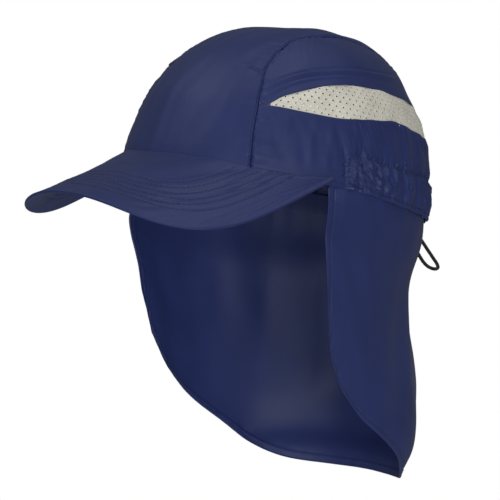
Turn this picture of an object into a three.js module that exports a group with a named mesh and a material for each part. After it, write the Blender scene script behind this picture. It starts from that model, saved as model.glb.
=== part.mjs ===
// A sun cap as it is worn: a crown of a centre panel and two side panels, a mesh vent round the
// back, a side and back band whose lower part is a gathered casing, a curved peak, a neck flap
// and the elastic cord's loop under the casing.
//
// Millimetres. +X is the wearer's left, -Y the front and +Z up. The origin is the middle of the
// head opening, whose plane tips up at the front by WORN_TILT.

import * as THREE from 'three';

const degrees = THREE.MathUtils.degToRad;
const { lerp, smoothstep } = THREE.MathUtils;

// Driving sizes
const HEAD_HALF_WIDTH = 82.5;
const HEAD_HALF_LENGTH = 100;
const CROWN_HEIGHT = 95;
const WORN_TILT = degrees(13.5);

const CROWN_CLOTH = 1.5;
const BAND_CLOTH = 1.4;
const MESH_CLOTH = 1.2;
const FLAP_CLOTH = 1.2;
const SEAM_GAP = 0.3;

const CASING_PUFF = 2.2;
const PLEAT_DEPTH = 1.1;
const PLEATS = 20;
const PLEAT_LEAN = degrees(2.5);

const PEAK_REACH = 65.5;
const PEAK_THICKNESS = 2.6;
const PEAK_RIM_THICKNESS = 1.9;
const PEAK_END_ANGLE = degrees(70.3);
const PEAK_SLOPE = Math.tan(degrees(18.5));
const PEAK_TIP_LIFT = 4.2;
const PEAK_TIP_DROOP = 5.3;
const PEAK_SEAT_RISE = 2.3;
const PEAK_END_RISE = 4.6;
const PEAK_END_WIDTH = 0.7;
const PEAK_CLEARANCE = 0.8;
const PEAK_ARCH_POWER = 2.38;
const PEAK_OUTLINE_POWER = 2.9;

const FLAP_DROP = 181;
const FLAP_START_ANGLE = degrees(71.5);
const FLAP_INSET = 1.6;
const FLAP_FOLD_DEPTH = 3;

const CORD_DIAMETER = 2.3;

// How the casing's cloth lies, as shares: where the puff's curve starts at the hem, and how much
// of PLEAT_DEPTH shows at the hem, on the puff, just over the crease and at the mesh.
const PUFF_START_SHARE = 0.25;
const PLEAT_HEM_SHARE = 0.6;
const PLEAT_PUFF_SHARE = 0.9;
const PLEAT_CREASE_SHARE = 0.54;
const PLEAT_MESH_SHARE = 0.25;

// Two slow waves that shift the pleats along the casing, so that they aren't evenly spaced
const PLEAT_DRIFTS = table(['turns', 'size'], [[9, 0.3], [23, 0.2]]);

// Mesh steps of the faceted walls
const STEPS = {
  centreAcross: 12,
  centreAlong: 26,
  sideAlong: 18,
  sideUp: 8,
  meshRound: 44,
  meshUp: 3,
  plainBand: 5,
  pleat: 4,
  peakCorners: 48,
  peakRound: 30,
  peakOut: 7,
  flapRound: 48,
  flapDown: 12,
  cordRound: 8,
  cordAlong: 40,
};
const BAND_LEVELS = [0, 0.17, 0.36, 0.52, 0.62, 0.8, 1];

// Half the width, on the flat maps, over which a slope is measured
const SLOPE_REACH = 0.004;

// The crown's section lines, from the opening (up 0) to the top (up 1). Reaches are shares of
// HEAD_HALF_LENGTH at the front and back and of HEAD_HALF_WIDTH at the side, rises are shares
// of CROWN_HEIGHT.
const CROWN_LINES = table(
  ['up', 'front', 'frontRise', 'side', 'sideRise', 'back', 'backRise'],
  [
    [0.00, 1.000, 0.000, 1.000, 0.000, 0.985, 0.000],
    [0.09, 0.985, 0.100, 0.992, 0.115, 0.990, 0.130],
    [0.18, 0.947, 0.270, 0.962, 0.275, 0.972, 0.280],
    [0.27, 0.905, 0.410, 0.920, 0.425, 0.930, 0.440],
    [0.36, 0.832, 0.550, 0.845, 0.570, 0.858, 0.580],
    [0.45, 0.754, 0.660, 0.765, 0.680, 0.772, 0.700],
    [0.55, 0.643, 0.768, 0.655, 0.800, 0.665, 0.838],
    [0.64, 0.523, 0.848, 0.535, 0.890, 0.545, 0.940],
    [0.73, 0.400, 0.904, 0.405, 0.953, 0.413, 1.003],
    [0.82, 0.280, 0.940, 0.285, 0.980, 0.290, 1.022],
    [0.91, 0.140, 0.972, 0.140, 0.992, 0.145, 1.015],
    [1.00, 0.000, 0.995, 0.000, 0.995, 0.000, 0.995],
  ],
);

// The seam between the centre panel and a side panel, from the opening's front edge over the
// top to the mesh at the back. Angles go round the crown from the front, in degrees.
const CENTRE_SEAM = table(
  ['way', 'up', 'angle'],
  [
    [0.00, -0.025, 40.5],
    [0.10, 0.090, 39.5],
    [0.16, 0.155, 38.6],
    [0.25, 0.250, 38.0],
    [0.32, 0.330, 37.5],
    [0.40, 0.420, 36.8],
    [0.46, 0.495, 38.5],
    [0.52, 0.550, 41.0],
    [0.58, 0.604, 44.6],
    [0.70, 0.687, 65.0],
    [0.80, 0.708, 96.0],
    [0.88, 0.653, 125.0],
    [0.94, 0.534, 144.6],
    [1.00, 0.400, 155.0],
  ],
);

// Heights round the side and back, as shares of the way up the crown: the band's lower edge,
// the casing's top crease and the foot and top of the mesh.
const SIDE_HEIGHTS = table(
  ['angle', 'hem', 'casing', 'meshFoot', 'meshTop'],
  [
    [38, -0.025, 0.140, 0.257, 0.257],
    [42, -0.025, 0.140, 0.256, 0.260],
    [50, -0.025, 0.140, 0.255, 0.306],
    [60, -0.022, 0.140, 0.253, 0.352],
    [70, -0.013, 0.140, 0.255, 0.387],
    [80, -0.014, 0.138, 0.270, 0.406],
    [90, -0.020, 0.134, 0.285, 0.415],
    [100, -0.030, 0.130, 0.298, 0.415],
    [110, -0.034, 0.132, 0.290, 0.414],
    [125, -0.040, 0.132, 0.281, 0.405],
    [140, -0.042, 0.130, 0.276, 0.400],
    [180, -0.042, 0.130, 0.275, 0.400],
  ],
);
const MESH_START_ANGLE = degrees(44);
const GATHER_START_ANGLE = degrees(77);

// Where the centre seam turns from a side panel's front edge to its top edge and its back edge
const MESH_TIP_SHARE = 0.257;
const TOP_EDGE_SHARE = 0.46;
const BACK_EDGE_SHARE = 0.9;

// Level sections of the flap, each a stretch of an ellipse. The level is a share of FLAP_DROP
// below the origin, the side a share of HEAD_HALF_WIDTH, and the ellipse's middle and its reach
// to the back are shares of HEAD_HALF_LENGTH.
const FLAP_SECTIONS = table(
  ['level', 'side', 'middle', 'reach'],
  [
    [0.000, 1.015, -0.24, 1.170],
    [0.100, 1.020, -0.24, 1.150],
    [0.182, 1.012, -0.22, 1.130],
    [0.287, 0.982, -0.16, 1.012],
    [0.376, 0.967, -0.14, 0.996],
    [0.508, 0.939, -0.10, 0.993],
    [0.608, 0.927, -0.05, 0.972],
    [0.707, 0.921, 0.05, 0.876],
    [0.807, 0.915, 0.13, 0.763],
    [0.890, 0.873, 0.16, 0.694],
    [0.950, 0.824, 0.15, 0.640],
    [1.000, 0.790, 0.15, 0.620],
  ],
);

// The flap's free edge, from its front edge (around 0) to the middle of the back (around 1).
// The angle goes round the section from the back, in degrees.
const FLAP_EDGE = table(
  ['around', 'level', 'angle'],
  [
    [0.00, 0.514, 102.5],
    [0.07, 0.575, 101],
    [0.15, 0.641, 100],
    [0.24, 0.718, 98],
    [0.32, 0.773, 94],
    [0.42, 0.845, 84],
    [0.60, 0.934, 67],
    [0.76, 0.977, 46],
    [1.00, 1.000, 0],
  ],
);
const FLAP_TOP_SECTION_ANGLE = degrees(96.5);
const FLAP_BLEND_SHARE = 0.3;

// Soft folds that run down the flap: where each lies around it, its half-width around, its
// depth as a share of FLAP_FOLD_DEPTH, and the part of the drop where it fades in and out.
const FLAP_FOLDS = table(
  ['around', 'width', 'depth', 'from', 'to'],
  [
    [0.28, 0.10, 0.55, 0.05, 0.75],
    [0.50, 0.11, -0.70, 0.05, 0.85],
    [0.70, 0.10, 0.80, 0.02, 0.90],
    [0.88, 0.09, -1.00, 0.02, 0.80],
    [1.00, 0.06, 0.60, 0.02, 0.95],
  ],
);
const FOLD_FADE_IN_SHARE = 0.3;
const FOLD_FADE_OUT_SHARE = 0.35;

// The cord's centre line, from one end under the casing round the loop to the other.
const CORD_ROUTE = [
  [4.5, 96.4, -30.6],
  [4.8, 108, -32],
  [5, 119, -37.6],
  [5.2, 130.8, -49.9],
  [5.4, 134.6, -54.2],
  [5.4, 138, -57.9],
  [3.8, 140.7, -60.8],
  [-0.2, 141.8, -62],
  [-4.2, 140.7, -60.8],
  [-5.8, 138, -57.9],
  [-5.8, 134.6, -54.2],
  [-5.6, 130.8, -49.9],
  [-5, 118.5, -37.4],
  [-4.8, 108, -32.2],
  [-4.5, 96.4, -30.8],
];

const gapShare = SEAM_GAP / HEAD_HALF_WIDTH / 2;

// Rows of numbers as objects with the columns' names
function table(columns, rows) {
  return rows.map((row) => Object.fromEntries(columns.map((name, i) => [name, row[i]])));
}

// Smooth curve through one column of a table over its first column, straight past both ends
function follow(rows, column, at) {
  const key = Object.keys(rows[0])[0];
  const last = rows.length - 2;
  let i = 0;
  while (i < last && at > rows[i + 1][key]) i += 1;
  const slope = (n) => {
    const k = Math.min(Math.max(n, 0), last);
    return (rows[k + 1][column] - rows[k][column]) / (rows[k + 1][key] - rows[k][key]);
  };
  const step = (n) => {
    const k = Math.min(Math.max(n, 0), last);
    return rows[k + 1][key] - rows[k][key];
  };
  const tangent = (n) => {
    return (slope(n - 1) * step(n) + slope(n) * step(n - 1)) / (step(n - 1) + step(n));
  };
  if (at <= rows[0][key]) return rows[0][column] + slope(0) * (at - rows[0][key]);
  const end = rows[last + 1];
  if (at >= end[key]) return end[column] + slope(last) * (at - end[key]);
  const width = step(i);
  const t = (at - rows[i][key]) / width;
  const a = rows[i][column];
  const b = rows[i + 1][column];
  const start = tangent(i) * width;
  const finish = tangent(i + 1) * width;
  return (
    a * (2 * t ** 3 - 3 * t ** 2 + 1) +
    start * (t ** 3 - 2 * t ** 2 + t) +
    b * (3 * t ** 2 - 2 * t ** 3) +
    finish * (t ** 3 - t ** 2)
  );
}

// From the head opening's own axes to the cap as worn
function asWorn(x, y, z) {
  return new THREE.Vector3(x, y, z).applyAxisAngle(new THREE.Vector3(1, 0, 0), -WORN_TILT);
}

// Flat map of the crown: the top is at 0, 0 and the opening's edge is the circle of radius 1.
function onMap(angle, up) {
  return new THREE.Vector2((1 - up) * Math.sin(angle), -(1 - up) * Math.cos(angle));
}

function fromMap(spot) {
  return { angle: Math.atan2(spot.x, -spot.y), up: 1 - spot.length() };
}

// Heights are given for one side, and the other mirrors it
function heightAt(column, angle) {
  const round = Math.abs(Math.atan2(Math.sin(angle), Math.cos(angle)));
  return follow(SIDE_HEIGHTS, column, THREE.MathUtils.radToDeg(round));
}

// The crown's smooth form, without puffs and pleats
function crownForm(spot) {
  const { angle, up } = fromMap(spot);
  const cosine = Math.cos(angle);
  const end = cosine > 0 ? 'front' : 'back';
  const side = follow(CROWN_LINES, 'sideRise', up);
  const rise = lerp(side, follow(CROWN_LINES, end + 'Rise', up), cosine * cosine);
  const x = HEAD_HALF_WIDTH * follow(CROWN_LINES, 'side', up) * Math.sin(angle);
  const y = -HEAD_HALF_LENGTH * follow(CROWN_LINES, end, up) * cosine;
  return asWorn(x, y, CROWN_HEIGHT * rise);
}

function crownNormal(spot) {
  const reach = SLOPE_REACH;
  const shifted = (dx, dy) => crownForm(new THREE.Vector2(spot.x + dx, spot.y + dy));
  const across = shifted(reach, 0).sub(shifted(-reach, 0));
  const along = shifted(0, reach).sub(shifted(0, -reach));
  return across.cross(along).normalize();
}

// How far the casing puffs out and its pleats stand in or out, from the crown's smooth form
function gatherHeight(angle, up) {
  const round = Math.abs(Math.atan2(Math.sin(angle), Math.cos(angle)));
  const on = smoothstep(round, GATHER_START_ANGLE - PLEAT_LEAN, GATHER_START_ANGLE + PLEAT_LEAN);
  const hem = heightAt('hem', angle);
  const crease = heightAt('casing', angle);
  const foot = heightAt('meshFoot', angle);
  const share = (round - GATHER_START_ANGLE) / (Math.PI - GATHER_START_ANGLE);
  const drift = PLEAT_DRIFTS.reduce((sum, wave) => sum + wave.size * Math.sin(wave.turns * share), 0);
  const pleat = Math.cos(Math.PI * (PLEATS * share + drift));
  if (up < crease) {
    const climb = (up - hem) / (crease - hem);
    const puff = Math.sin(Math.PI * lerp(PUFF_START_SHARE, 1, climb));
    const ripple = pleat * lerp(PLEAT_HEM_SHARE, PLEAT_PUFF_SHARE, puff);
    return on * (CASING_PUFF * puff + PLEAT_DEPTH * ripple);
  }
  const fade = 1 - smoothstep(up, crease, foot);
  return on * PLEAT_DEPTH * pleat * lerp(PLEAT_MESH_SHARE, PLEAT_CREASE_SHARE, fade);
}

// One face of a cloth wall on the crown, sunk below its outer face by depth
function crownFace(spot, depth) {
  const { angle, up } = fromMap(spot);
  const height = up < heightAt('meshFoot', angle) ? gatherHeight(angle, up) : 0;
  return crownForm(spot).addScaledVector(crownNormal(spot), height - depth);
}

function even(count) {
  return Array.from({ length: count + 1 }, (_, i) => i / count);
}

// Closed wall between two faces, each a function of u and v. Points that fall together are one
// point, and triangles that this leaves without area are dropped.
function wall(us, vs, outer, inner) {
  const positions = [];
  const known = new Map();
  const number = (point) => {
    const name = point.toArray().map((value) => value.toFixed(4)).join(' ');
    if (!known.has(name)) {
      known.set(name, positions.length / 3);
      positions.push(...point.toArray());
    }
    return known.get(name);
  };
  const grid = [outer, inner].map((face) => vs.map((v) => us.map((u) => number(face(u, v)))));
  const triangles = [];
  const triangle = (a, b, c) => {
    if (a !== b && b !== c && c !== a) triangles.push(a, b, c);
  };
  const quad = (a, b, c, d) => {
    triangle(a, b, c);
    triangle(a, c, d);
  };
  const [out, back] = grid;
  const lastV = vs.length - 1;
  const lastU = us.length - 1;
  for (let j = 0; j < lastV; j += 1) {
    for (let i = 0; i < lastU; i += 1) {
      quad(out[j][i], out[j][i + 1], out[j + 1][i + 1], out[j + 1][i]);
      quad(back[j + 1][i], back[j + 1][i + 1], back[j][i + 1], back[j][i]);
    }
    quad(out[j][0], out[j + 1][0], back[j + 1][0], back[j][0]);
    quad(out[j + 1][lastU], out[j][lastU], back[j][lastU], back[j + 1][lastU]);
  }
  for (let i = 0; i < lastU; i += 1) {
    quad(out[0][i + 1], out[0][i], back[0][i], back[0][i + 1]);
    quad(out[lastV][i], out[lastV][i + 1], back[lastV][i + 1], back[lastV][i]);
  }
  const geometry = new THREE.BufferGeometry();
  geometry.setAttribute('position', new THREE.Float32BufferAttribute(positions, 3));
  geometry.setIndex(triangles);
  geometry.computeVertexNormals();
  return geometry;
}

// Spot of the map inside four edge curves, which meet at the corners
function between(bottom, top, left, right, u, v) {
  const spot = bottom(u).multiplyScalar(1 - v).addScaledVector(top(u), v);
  spot.addScaledVector(left(v), 1 - u).addScaledVector(right(v), u);
  spot.addScaledVector(bottom(0), -(1 - u) * (1 - v)).addScaledVector(bottom(1), -u * (1 - v));
  return spot.addScaledVector(top(0), -(1 - u) * v).addScaledVector(top(1), -u * v);
}

// The centre seam on the side given by hand (1 or -1), shifted outward by half a gap or inward
function seam(way, hand, shift) {
  const angle = degrees(follow(CENTRE_SEAM, 'angle', way));
  const spot = onMap(angle, follow(CENTRE_SEAM, 'up', way));
  return new THREE.Vector2(hand * (spot.x + shift), spot.y);
}

// Way along the seam's front stretch where it has climbed to a height
function seamWayAt(up) {
  let low = 0;
  let high = TOP_EDGE_SHARE;
  for (let i = 0; i < 40; i += 1) {
    const middle = (low + high) / 2;
    if (follow(CENTRE_SEAM, 'up', middle) < up) low = middle;
    else high = middle;
  }
  return low;
}

function crownWall(us, vs, spotAt, cloth) {
  const face = (depth) => (u, v) => crownFace(spotAt(u, v), depth);
  return wall(us, vs, face(0), face(cloth));
}

// The panel from the front edge over the top to the mesh at the back
function centrePanel() {
  const left = (v) => seam(v, -1, -gapShare);
  const right = (v) => seam(v, 1, -gapShare);
  const edge = (corner, middle) => (u) => {
    const { angle, up } = fromMap(corner);
    const turn = lerp(-1, 1, u) * Math.abs(Math.sin(angle));
    return onMap(middle + (middle ? -1 : 1) * Math.asin(turn), up);
  };
  const front = edge(right(0), 0);
  const back = edge(right(1), Math.PI);
  const spotAt = (u, v) => between(front, back, left, right, u, v);
  return crownWall(even(STEPS.centreAcross), even(STEPS.centreAlong), spotAt, CROWN_CLOTH);
}

// The panel above the mesh, between it and the centre seam
function sidePanel(hand) {
  const start = degrees(follow(CENTRE_SEAM, 'angle', MESH_TIP_SHARE));
  const finish = degrees(follow(CENTRE_SEAM, 'angle', 1));
  const along = (from, to) => (t) => seam(lerp(from, to, t), 1, gapShare);
  const left = along(MESH_TIP_SHARE, TOP_EDGE_SHARE);
  const right = along(1, BACK_EDGE_SHARE);
  const top = along(TOP_EDGE_SHARE, BACK_EDGE_SHARE);
  const bottom = (u) => {
    const angle = lerp(start, finish, u);
    const spot = onMap(angle, heightAt('meshTop', angle) + gapShare);
    const ends = left(0).sub(onMap(start, heightAt('meshTop', start) + gapShare));
    ends.multiplyScalar(1 - u);
    const other = right(0).sub(onMap(finish, heightAt('meshTop', finish) + gapShare));
    return spot.add(ends).addScaledVector(other, u);
  };
  const spotAt = (u, v) => {
    const spot = between(bottom, top, left, right, hand > 0 ? u : 1 - u, v);
    return new THREE.Vector2(hand * spot.x, spot.y);
  };
  return crownWall(even(STEPS.sideAlong), even(STEPS.sideUp), spotAt, CROWN_CLOTH);
}

// Runs from one side's start angle round the back to the other side's
function roundBack(start, u) {
  return lerp(start, 2 * Math.PI - start, u);
}

function meshPanel() {
  const spotAt = (u, v) => {
    const angle = roundBack(MESH_START_ANGLE, u);
    const foot = heightAt('meshFoot', angle) + 2 * gapShare;
    return onMap(angle, lerp(foot, heightAt('meshTop', angle) - 2 * gapShare, v));
  };
  return crownWall(even(STEPS.meshRound), even(STEPS.meshUp), spotAt, MESH_CLOTH);
}

// Side and back band, with plain sides and its casing gathered from GATHER_START_ANGLE on
function backBand() {
  const first = degrees(SIDE_HEIGHTS[0].angle);
  const plain = (GATHER_START_ANGLE - first) / (Math.PI - first);
  const half = [
    ...even(STEPS.plainBand).map((t) => t * plain).slice(0, -1),
    ...even((PLEATS / 2) * STEPS.pleat).map((t) => lerp(plain, 1, t)),
  ];
  const us = [...half.map((t) => t / 2), ...half.slice(0, -1).reverse().map((t) => 1 - t / 2)];
  const spotAt = (u, v) => {
    const hand = u <= 0.5 ? 1 : -1;
    const t = 1 - Math.abs(1 - 2 * u);
    const rough = lerp(first, Math.PI, t);
    const up = (angle) => lerp(heightAt('hem', angle), heightAt('meshFoot', angle) - gapShare, v);
    const front = degrees(follow(CENTRE_SEAM, 'angle', seamWayAt(up(rough))));
    const angle = lerp(front + 2 * gapShare, Math.PI, t);
    const spot = onMap(angle, up(angle));
    return new THREE.Vector2(hand * spot.x, spot.y);
  };
  return crownWall(us, BAND_LEVELS, spotAt, BAND_CLOTH);
}

// Height of the peak's top face over the ground plan: it slopes down and arches from side to
// side, with its tip a little lifted and the tip's corners drooping further.
function peakTop(x, y) {
  const front = asWorn(0, -HEAD_HALF_LENGTH, PEAK_SEAT_RISE);
  const end = crownForm(onMap(PEAK_END_ANGLE, 0)).add(asWorn(0, 0, PEAK_END_RISE));
  const ahead = (spot) => (front.y - spot) / PEAK_REACH;
  const middle = (spot) => {
    const lift = PEAK_TIP_LIFT * ahead(spot) * Math.abs(ahead(spot));
    return front.z + PEAK_SLOPE * (spot - front.y) + lift;
  };
  const drop = middle(end.y) - end.z + PEAK_TIP_DROOP * (ahead(y) - ahead(end.y));
  return middle(y) - drop * (Math.abs(x) / end.x) ** PEAK_ARCH_POWER;
}

// The curved peak, whose inner edge lies against the crown's outer face. Its thickness is
// measured down the crown at that edge and square to its face at the rim.
function peak() {
  const end = crownForm(onMap(PEAK_END_ANGLE, 0));
  const halfWidth = end.x + PEAK_CLEARANCE + PEAK_END_WIDTH;
  const reach = PEAK_REACH + HEAD_HALF_LENGTH + end.y;
  const power = 2 / PEAK_OUTLINE_POWER;
  const corners = even(STEPS.peakCorners).map((t) => {
    const turn = lerp(-Math.PI / 2, Math.PI / 2, t);
    const x = halfWidth * Math.sign(turn) * Math.abs(Math.sin(turn)) ** power;
    return new THREE.Vector3(x, end.y - reach * Math.max(Math.cos(turn), 0) ** power, 0);
  });
  const outline = new THREE.CatmullRomCurve3(corners);
  outline.arcLengthDivisions = 800;
  const down = asWorn(0, 0, -1);
  const face = (share) => (u, v) => {
    const spot = onMap(lerp(-PEAK_END_ANGLE, PEAK_END_ANGLE, u), 0);
    const inner = crownForm(spot);
    inner.addScaledVector(crownNormal(spot).setZ(0).normalize(), PEAK_CLEARANCE);
    const outer = outline.getPointAt(u);
    const x = lerp(inner.x, outer.x, v);
    const y = lerp(inner.y, outer.y, v);
    const step = PEAK_REACH / 100;
    const slopeX = (peakTop(x + step, y) - peakTop(x - step, y)) / (2 * step);
    const slopeY = (peakTop(x, y + step) - peakTop(x, y - step)) / (2 * step);
    const normal = new THREE.Vector3(-slopeX, -slopeY, 1).normalize();
    const point = new THREE.Vector3(x, y, peakTop(x, y));
    const thickness = share * lerp(PEAK_THICKNESS, PEAK_RIM_THICKNESS, v);
    const drop = down.clone().multiplyScalar(-thickness / normal.dot(down));
    return point.add(drop.lerp(normal.multiplyScalar(-thickness), v));
  };
  return wall(even(STEPS.peakRound), even(STEPS.peakOut), face(1), face(0));
}

// Soft folds down the flap, out or in from its smooth form
function foldHeight(around, v) {
  const folds = FLAP_FOLDS.map((fold) => {
    const across = Math.max(0, 1 - ((around - fold.around) / fold.width) ** 2);
    const fadeIn = smoothstep(v, fold.from, fold.from + FOLD_FADE_IN_SHARE);
    const fadeOut = 1 - smoothstep(v, fold.to - FOLD_FADE_OUT_SHARE, fold.to);
    return fold.depth * across * across * fadeIn * fadeOut;
  });
  return FLAP_FOLD_DEPTH * folds.reduce((sum, height) => sum + height, 0);
}

// Middle of the flap's cloth, at u round it from one front edge to the other and v down it
function flapForm(u, v) {
  const hand = u <= 0.5 ? 1 : -1;
  const around = 1 - Math.abs(1 - 2 * u);
  const angle = lerp(FLAP_START_ANGLE, Math.PI, around);
  const spot = onMap(angle, heightAt('hem', angle) - 2 * gapShare);
  const puff = gatherHeight(angle, heightAt('hem', angle));
  const top = crownForm(spot).addScaledVector(crownNormal(spot), puff - FLAP_INSET);
  const bottom = -FLAP_DROP * follow(FLAP_EDGE, 'level', around);
  const z = lerp(top.z, bottom, v);
  const edgeTurn = degrees(follow(FLAP_EDGE, 'angle', around));
  const turn = lerp(FLAP_TOP_SECTION_ANGLE * (1 - around), edgeTurn, v);
  const level = -z / FLAP_DROP;
  const side = HEAD_HALF_WIDTH * follow(FLAP_SECTIONS, 'side', level);
  const middle = HEAD_HALF_LENGTH * follow(FLAP_SECTIONS, 'middle', level);
  const reach = HEAD_HALF_LENGTH * follow(FLAP_SECTIONS, 'reach', level);
  const settled = smoothstep(v, 0, FLAP_BLEND_SHARE);
  const x = lerp(top.x, side * Math.sin(turn), settled);
  const y = lerp(top.y, middle + reach * Math.cos(turn), settled);
  const outward = new THREE.Vector3(Math.sin(turn), Math.cos(turn), 0);
  const point = new THREE.Vector3(x, y, z).addScaledVector(outward, foldHeight(around, v));
  point.x *= hand;
  return point;
}

function flapNormal(u, v) {
  const reach = SLOPE_REACH;
  const round = flapForm(u + reach, v).sub(flapForm(u - reach, v));
  const down = flapForm(u, v + reach).sub(flapForm(u, v - reach));
  return down.cross(round).normalize();
}

// The neck flap, hung under the band's lower edge from one end of the peak to the other
function neckFlap() {
  const face = (depth) => (u, v) => {
    return flapForm(u, 1 - v).addScaledVector(flapNormal(u, 1 - v), -depth);
  };
  return wall(even(STEPS.flapRound), even(STEPS.flapDown), face(0), face(FLAP_CLOTH));
}

// The elastic cord's loop, a round tube along its route
function cordLoop() {
  const route = new THREE.CatmullRomCurve3(CORD_ROUTE.map((point) => new THREE.Vector3(...point)));
  const section = new THREE.Shape(
    even(STEPS.cordRound).slice(0, -1).map((t) => {
      const turn = 2 * Math.PI * t;
      const radius = CORD_DIAMETER / 2;
      return new THREE.Vector2(radius * Math.cos(turn), radius * Math.sin(turn));
    }),
  );
  return new THREE.ExtrudeGeometry(section, { steps: STEPS.cordAlong, extrudePath: route });
}

const navyCloth = { color: 0x2f335c, roughness: 0.78, metalness: 0 };
const shadedCloth = { color: 0x252a50, roughness: 0.8, metalness: 0 };
const paleMesh = { color: 0xbebcaf, roughness: 0.85, metalness: 0 };
const blackElastic = { color: 0x111113, roughness: 0.7, metalness: 0 };

const group = new THREE.Group();

function add(name, geometry, look) {
  const mesh = new THREE.Mesh(geometry, new THREE.MeshStandardMaterial(look));
  mesh.name = name;
  group.add(mesh);
}

add('centre_panel', centrePanel(), navyCloth);
add('side_panel_left', sidePanel(1), navyCloth);
add('side_panel_right', sidePanel(-1), navyCloth);
add('mesh_panel', meshPanel(), paleMesh);
add('back_band', backBand(), navyCloth);
add('peak', peak(), navyCloth);
add('neck_flap', neckFlap(), shadedCloth);
add('cord_loop', cordLoop(), blackElastic);

export default group;
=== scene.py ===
import math

import bpy
import numpy as np
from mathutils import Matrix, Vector


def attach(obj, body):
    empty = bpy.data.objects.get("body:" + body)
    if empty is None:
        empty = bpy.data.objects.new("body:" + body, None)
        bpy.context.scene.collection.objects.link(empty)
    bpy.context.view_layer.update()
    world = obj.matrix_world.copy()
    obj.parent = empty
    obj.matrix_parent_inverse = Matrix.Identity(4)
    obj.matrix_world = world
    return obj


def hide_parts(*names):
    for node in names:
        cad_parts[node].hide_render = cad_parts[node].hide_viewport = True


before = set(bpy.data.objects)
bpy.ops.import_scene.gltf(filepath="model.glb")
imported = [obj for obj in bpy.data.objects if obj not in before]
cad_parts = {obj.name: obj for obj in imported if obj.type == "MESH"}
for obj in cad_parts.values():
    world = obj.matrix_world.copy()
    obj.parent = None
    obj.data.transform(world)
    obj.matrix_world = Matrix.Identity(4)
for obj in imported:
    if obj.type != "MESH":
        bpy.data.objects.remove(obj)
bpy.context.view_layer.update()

bl_info = {
    "name": "Sun cap with neck flap",
    "version": (1, 0, 0),
    "blender": (4, 5, 0),
    "location": "View3D > Sidebar > Sun Cap",
    "description": "Dresses the packed sun cap in cloth, pierced mesh, stitching and cord",
    "category": "Object",
}

MM = 0.001


# Tables and smooth curves. Angles go round the crown from the front, heights go up it as
# shares, and lengths are millimetres, as in the part's source.


def table(columns, rows):
    return dict(zip(columns, np.array(rows, float).T))


def follow(rows, column, at):
    """Smooth curve through one column of a table over its first one, straight past both ends."""
    keys, values = next(iter(rows.values())), rows[column]
    step = np.diff(keys)
    slope = np.diff(values) / step
    before, after = np.r_[slope[0], slope], np.r_[slope, slope[-1]]
    wide, next_wide = np.r_[step[0], step], np.r_[step, step[-1]]
    tangent = (before * next_wide + after * wide) / (wide + next_wide)
    at = np.asarray(at, float)
    i = np.clip(np.searchsorted(keys, at) - 1, 0, len(step) - 1)
    t = (at - keys[i]) / step[i]
    curve = (
        values[i] * (2 * t**3 - 3 * t**2 + 1)
        + tangent[i] * step[i] * (t**3 - 2 * t**2 + t)
        + values[i + 1] * (3 * t**2 - 2 * t**3)
        + tangent[i + 1] * step[i] * (t**3 - t**2)
    )
    curve = np.where(t < 0, values[0] + slope[0] * (at - keys[0]), curve)
    return np.where(at > keys[-1], values[-1] + slope[-1] * (at - keys[-1]), curve)


def lerp(a, b, t):
    return a + (b - a) * t


def smoothstep(x, low, high):
    t = np.clip((x - low) / (high - low), 0, 1)
    return t * t * (3 - 2 * t)


def span(x, start, full, fades, end):
    """1 from full to fades, and softly down to 0 at start and end."""
    return smoothstep(x, start, full) * (1 - smoothstep(x, fades, end))


def bump(distance, width):
    """A smooth ridge's height, 1 at no distance."""
    return np.exp(-((distance / width) ** 2))


def waves(x, y, seed, long_x, long_y, count=16):
    """Uneven soft waves over flat cloth, with a mean square of 1. x, y and the two typical
    wavelengths are millimetres."""
    draw = np.random.default_rng(seed)
    total = 0
    for _ in range(count):
        fx = draw.normal(0, 1) / long_x
        fy = draw.normal(0, 1) / long_y
        total = total + np.cos(2 * np.pi * (fx * x + fy * y) + draw.uniform(0, 2 * np.pi))
    return total * math.sqrt(2 / count)


def round_hills(wave, soft=0.25):
    """Waves as gathered cloth has them, with rounded hills and sharp valleys."""
    return np.sqrt(wave * wave + soft * soft) - 0.8


def slack_fold(across, ridge, ridge_width, crease_width, crease_depth):
    """Slack cloth with a soft ridge, 1 high, beside a sharp crease, which lies where across, in
    mm, is 0."""
    return bump(across - ridge, ridge_width) - crease_depth * bump(across, crease_width)


HEAD_HALF_WIDTH = 82.5
HEAD_HALF_LENGTH = 100
CROWN_HEIGHT = 95
WORN_TILT = math.radians(13.5)
SEAM_GAP = 0.3
GAP_SHARE = SEAM_GAP / HEAD_HALF_WIDTH / 2

CASING_PUFF = 2.2
PLEAT_DEPTH = 1.1
PLEATS = 20
PLEAT_LEAN = math.radians(1.3)
PLEAT_DRIFTS = ((9, 0.3), (23, 0.2))
GATHER_START_ANGLE = math.radians(77)
MESH_START_ANGLE = math.radians(44)

PEAK_REACH = 65.5
PEAK_THICKNESS = 2.6
PEAK_RIM_THICKNESS = 1.9
PEAK_END_ANGLE = math.radians(70.3)
PEAK_SLOPE = math.tan(math.radians(18.5))
PEAK_TIP_LIFT = 4.2
PEAK_TIP_DROOP = 5.3
PEAK_SEAT_RISE = 2.3
PEAK_END_RISE = 4.6
PEAK_END_WIDTH = 0.7
PEAK_CLEARANCE = 0.8
PEAK_SEAM_GAP = 0.4
PEAK_ARCH_POWER = 2.38
PEAK_OUTLINE_POWER = 2.9

FLAP_DROP = 181
FLAP_START_ANGLE = math.radians(71.5)
FLAP_INSET = 1.6
FLAP_FOLD_DEPTH = 0.9
FLAP_TOP_SECTION_ANGLE = math.radians(96.5)
FLAP_BLEND_SHARE = 0.3

MESH_TIP_SHARE = 0.257
TOP_EDGE_SHARE = 0.46
BACK_EDGE_SHARE = 0.9

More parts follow.
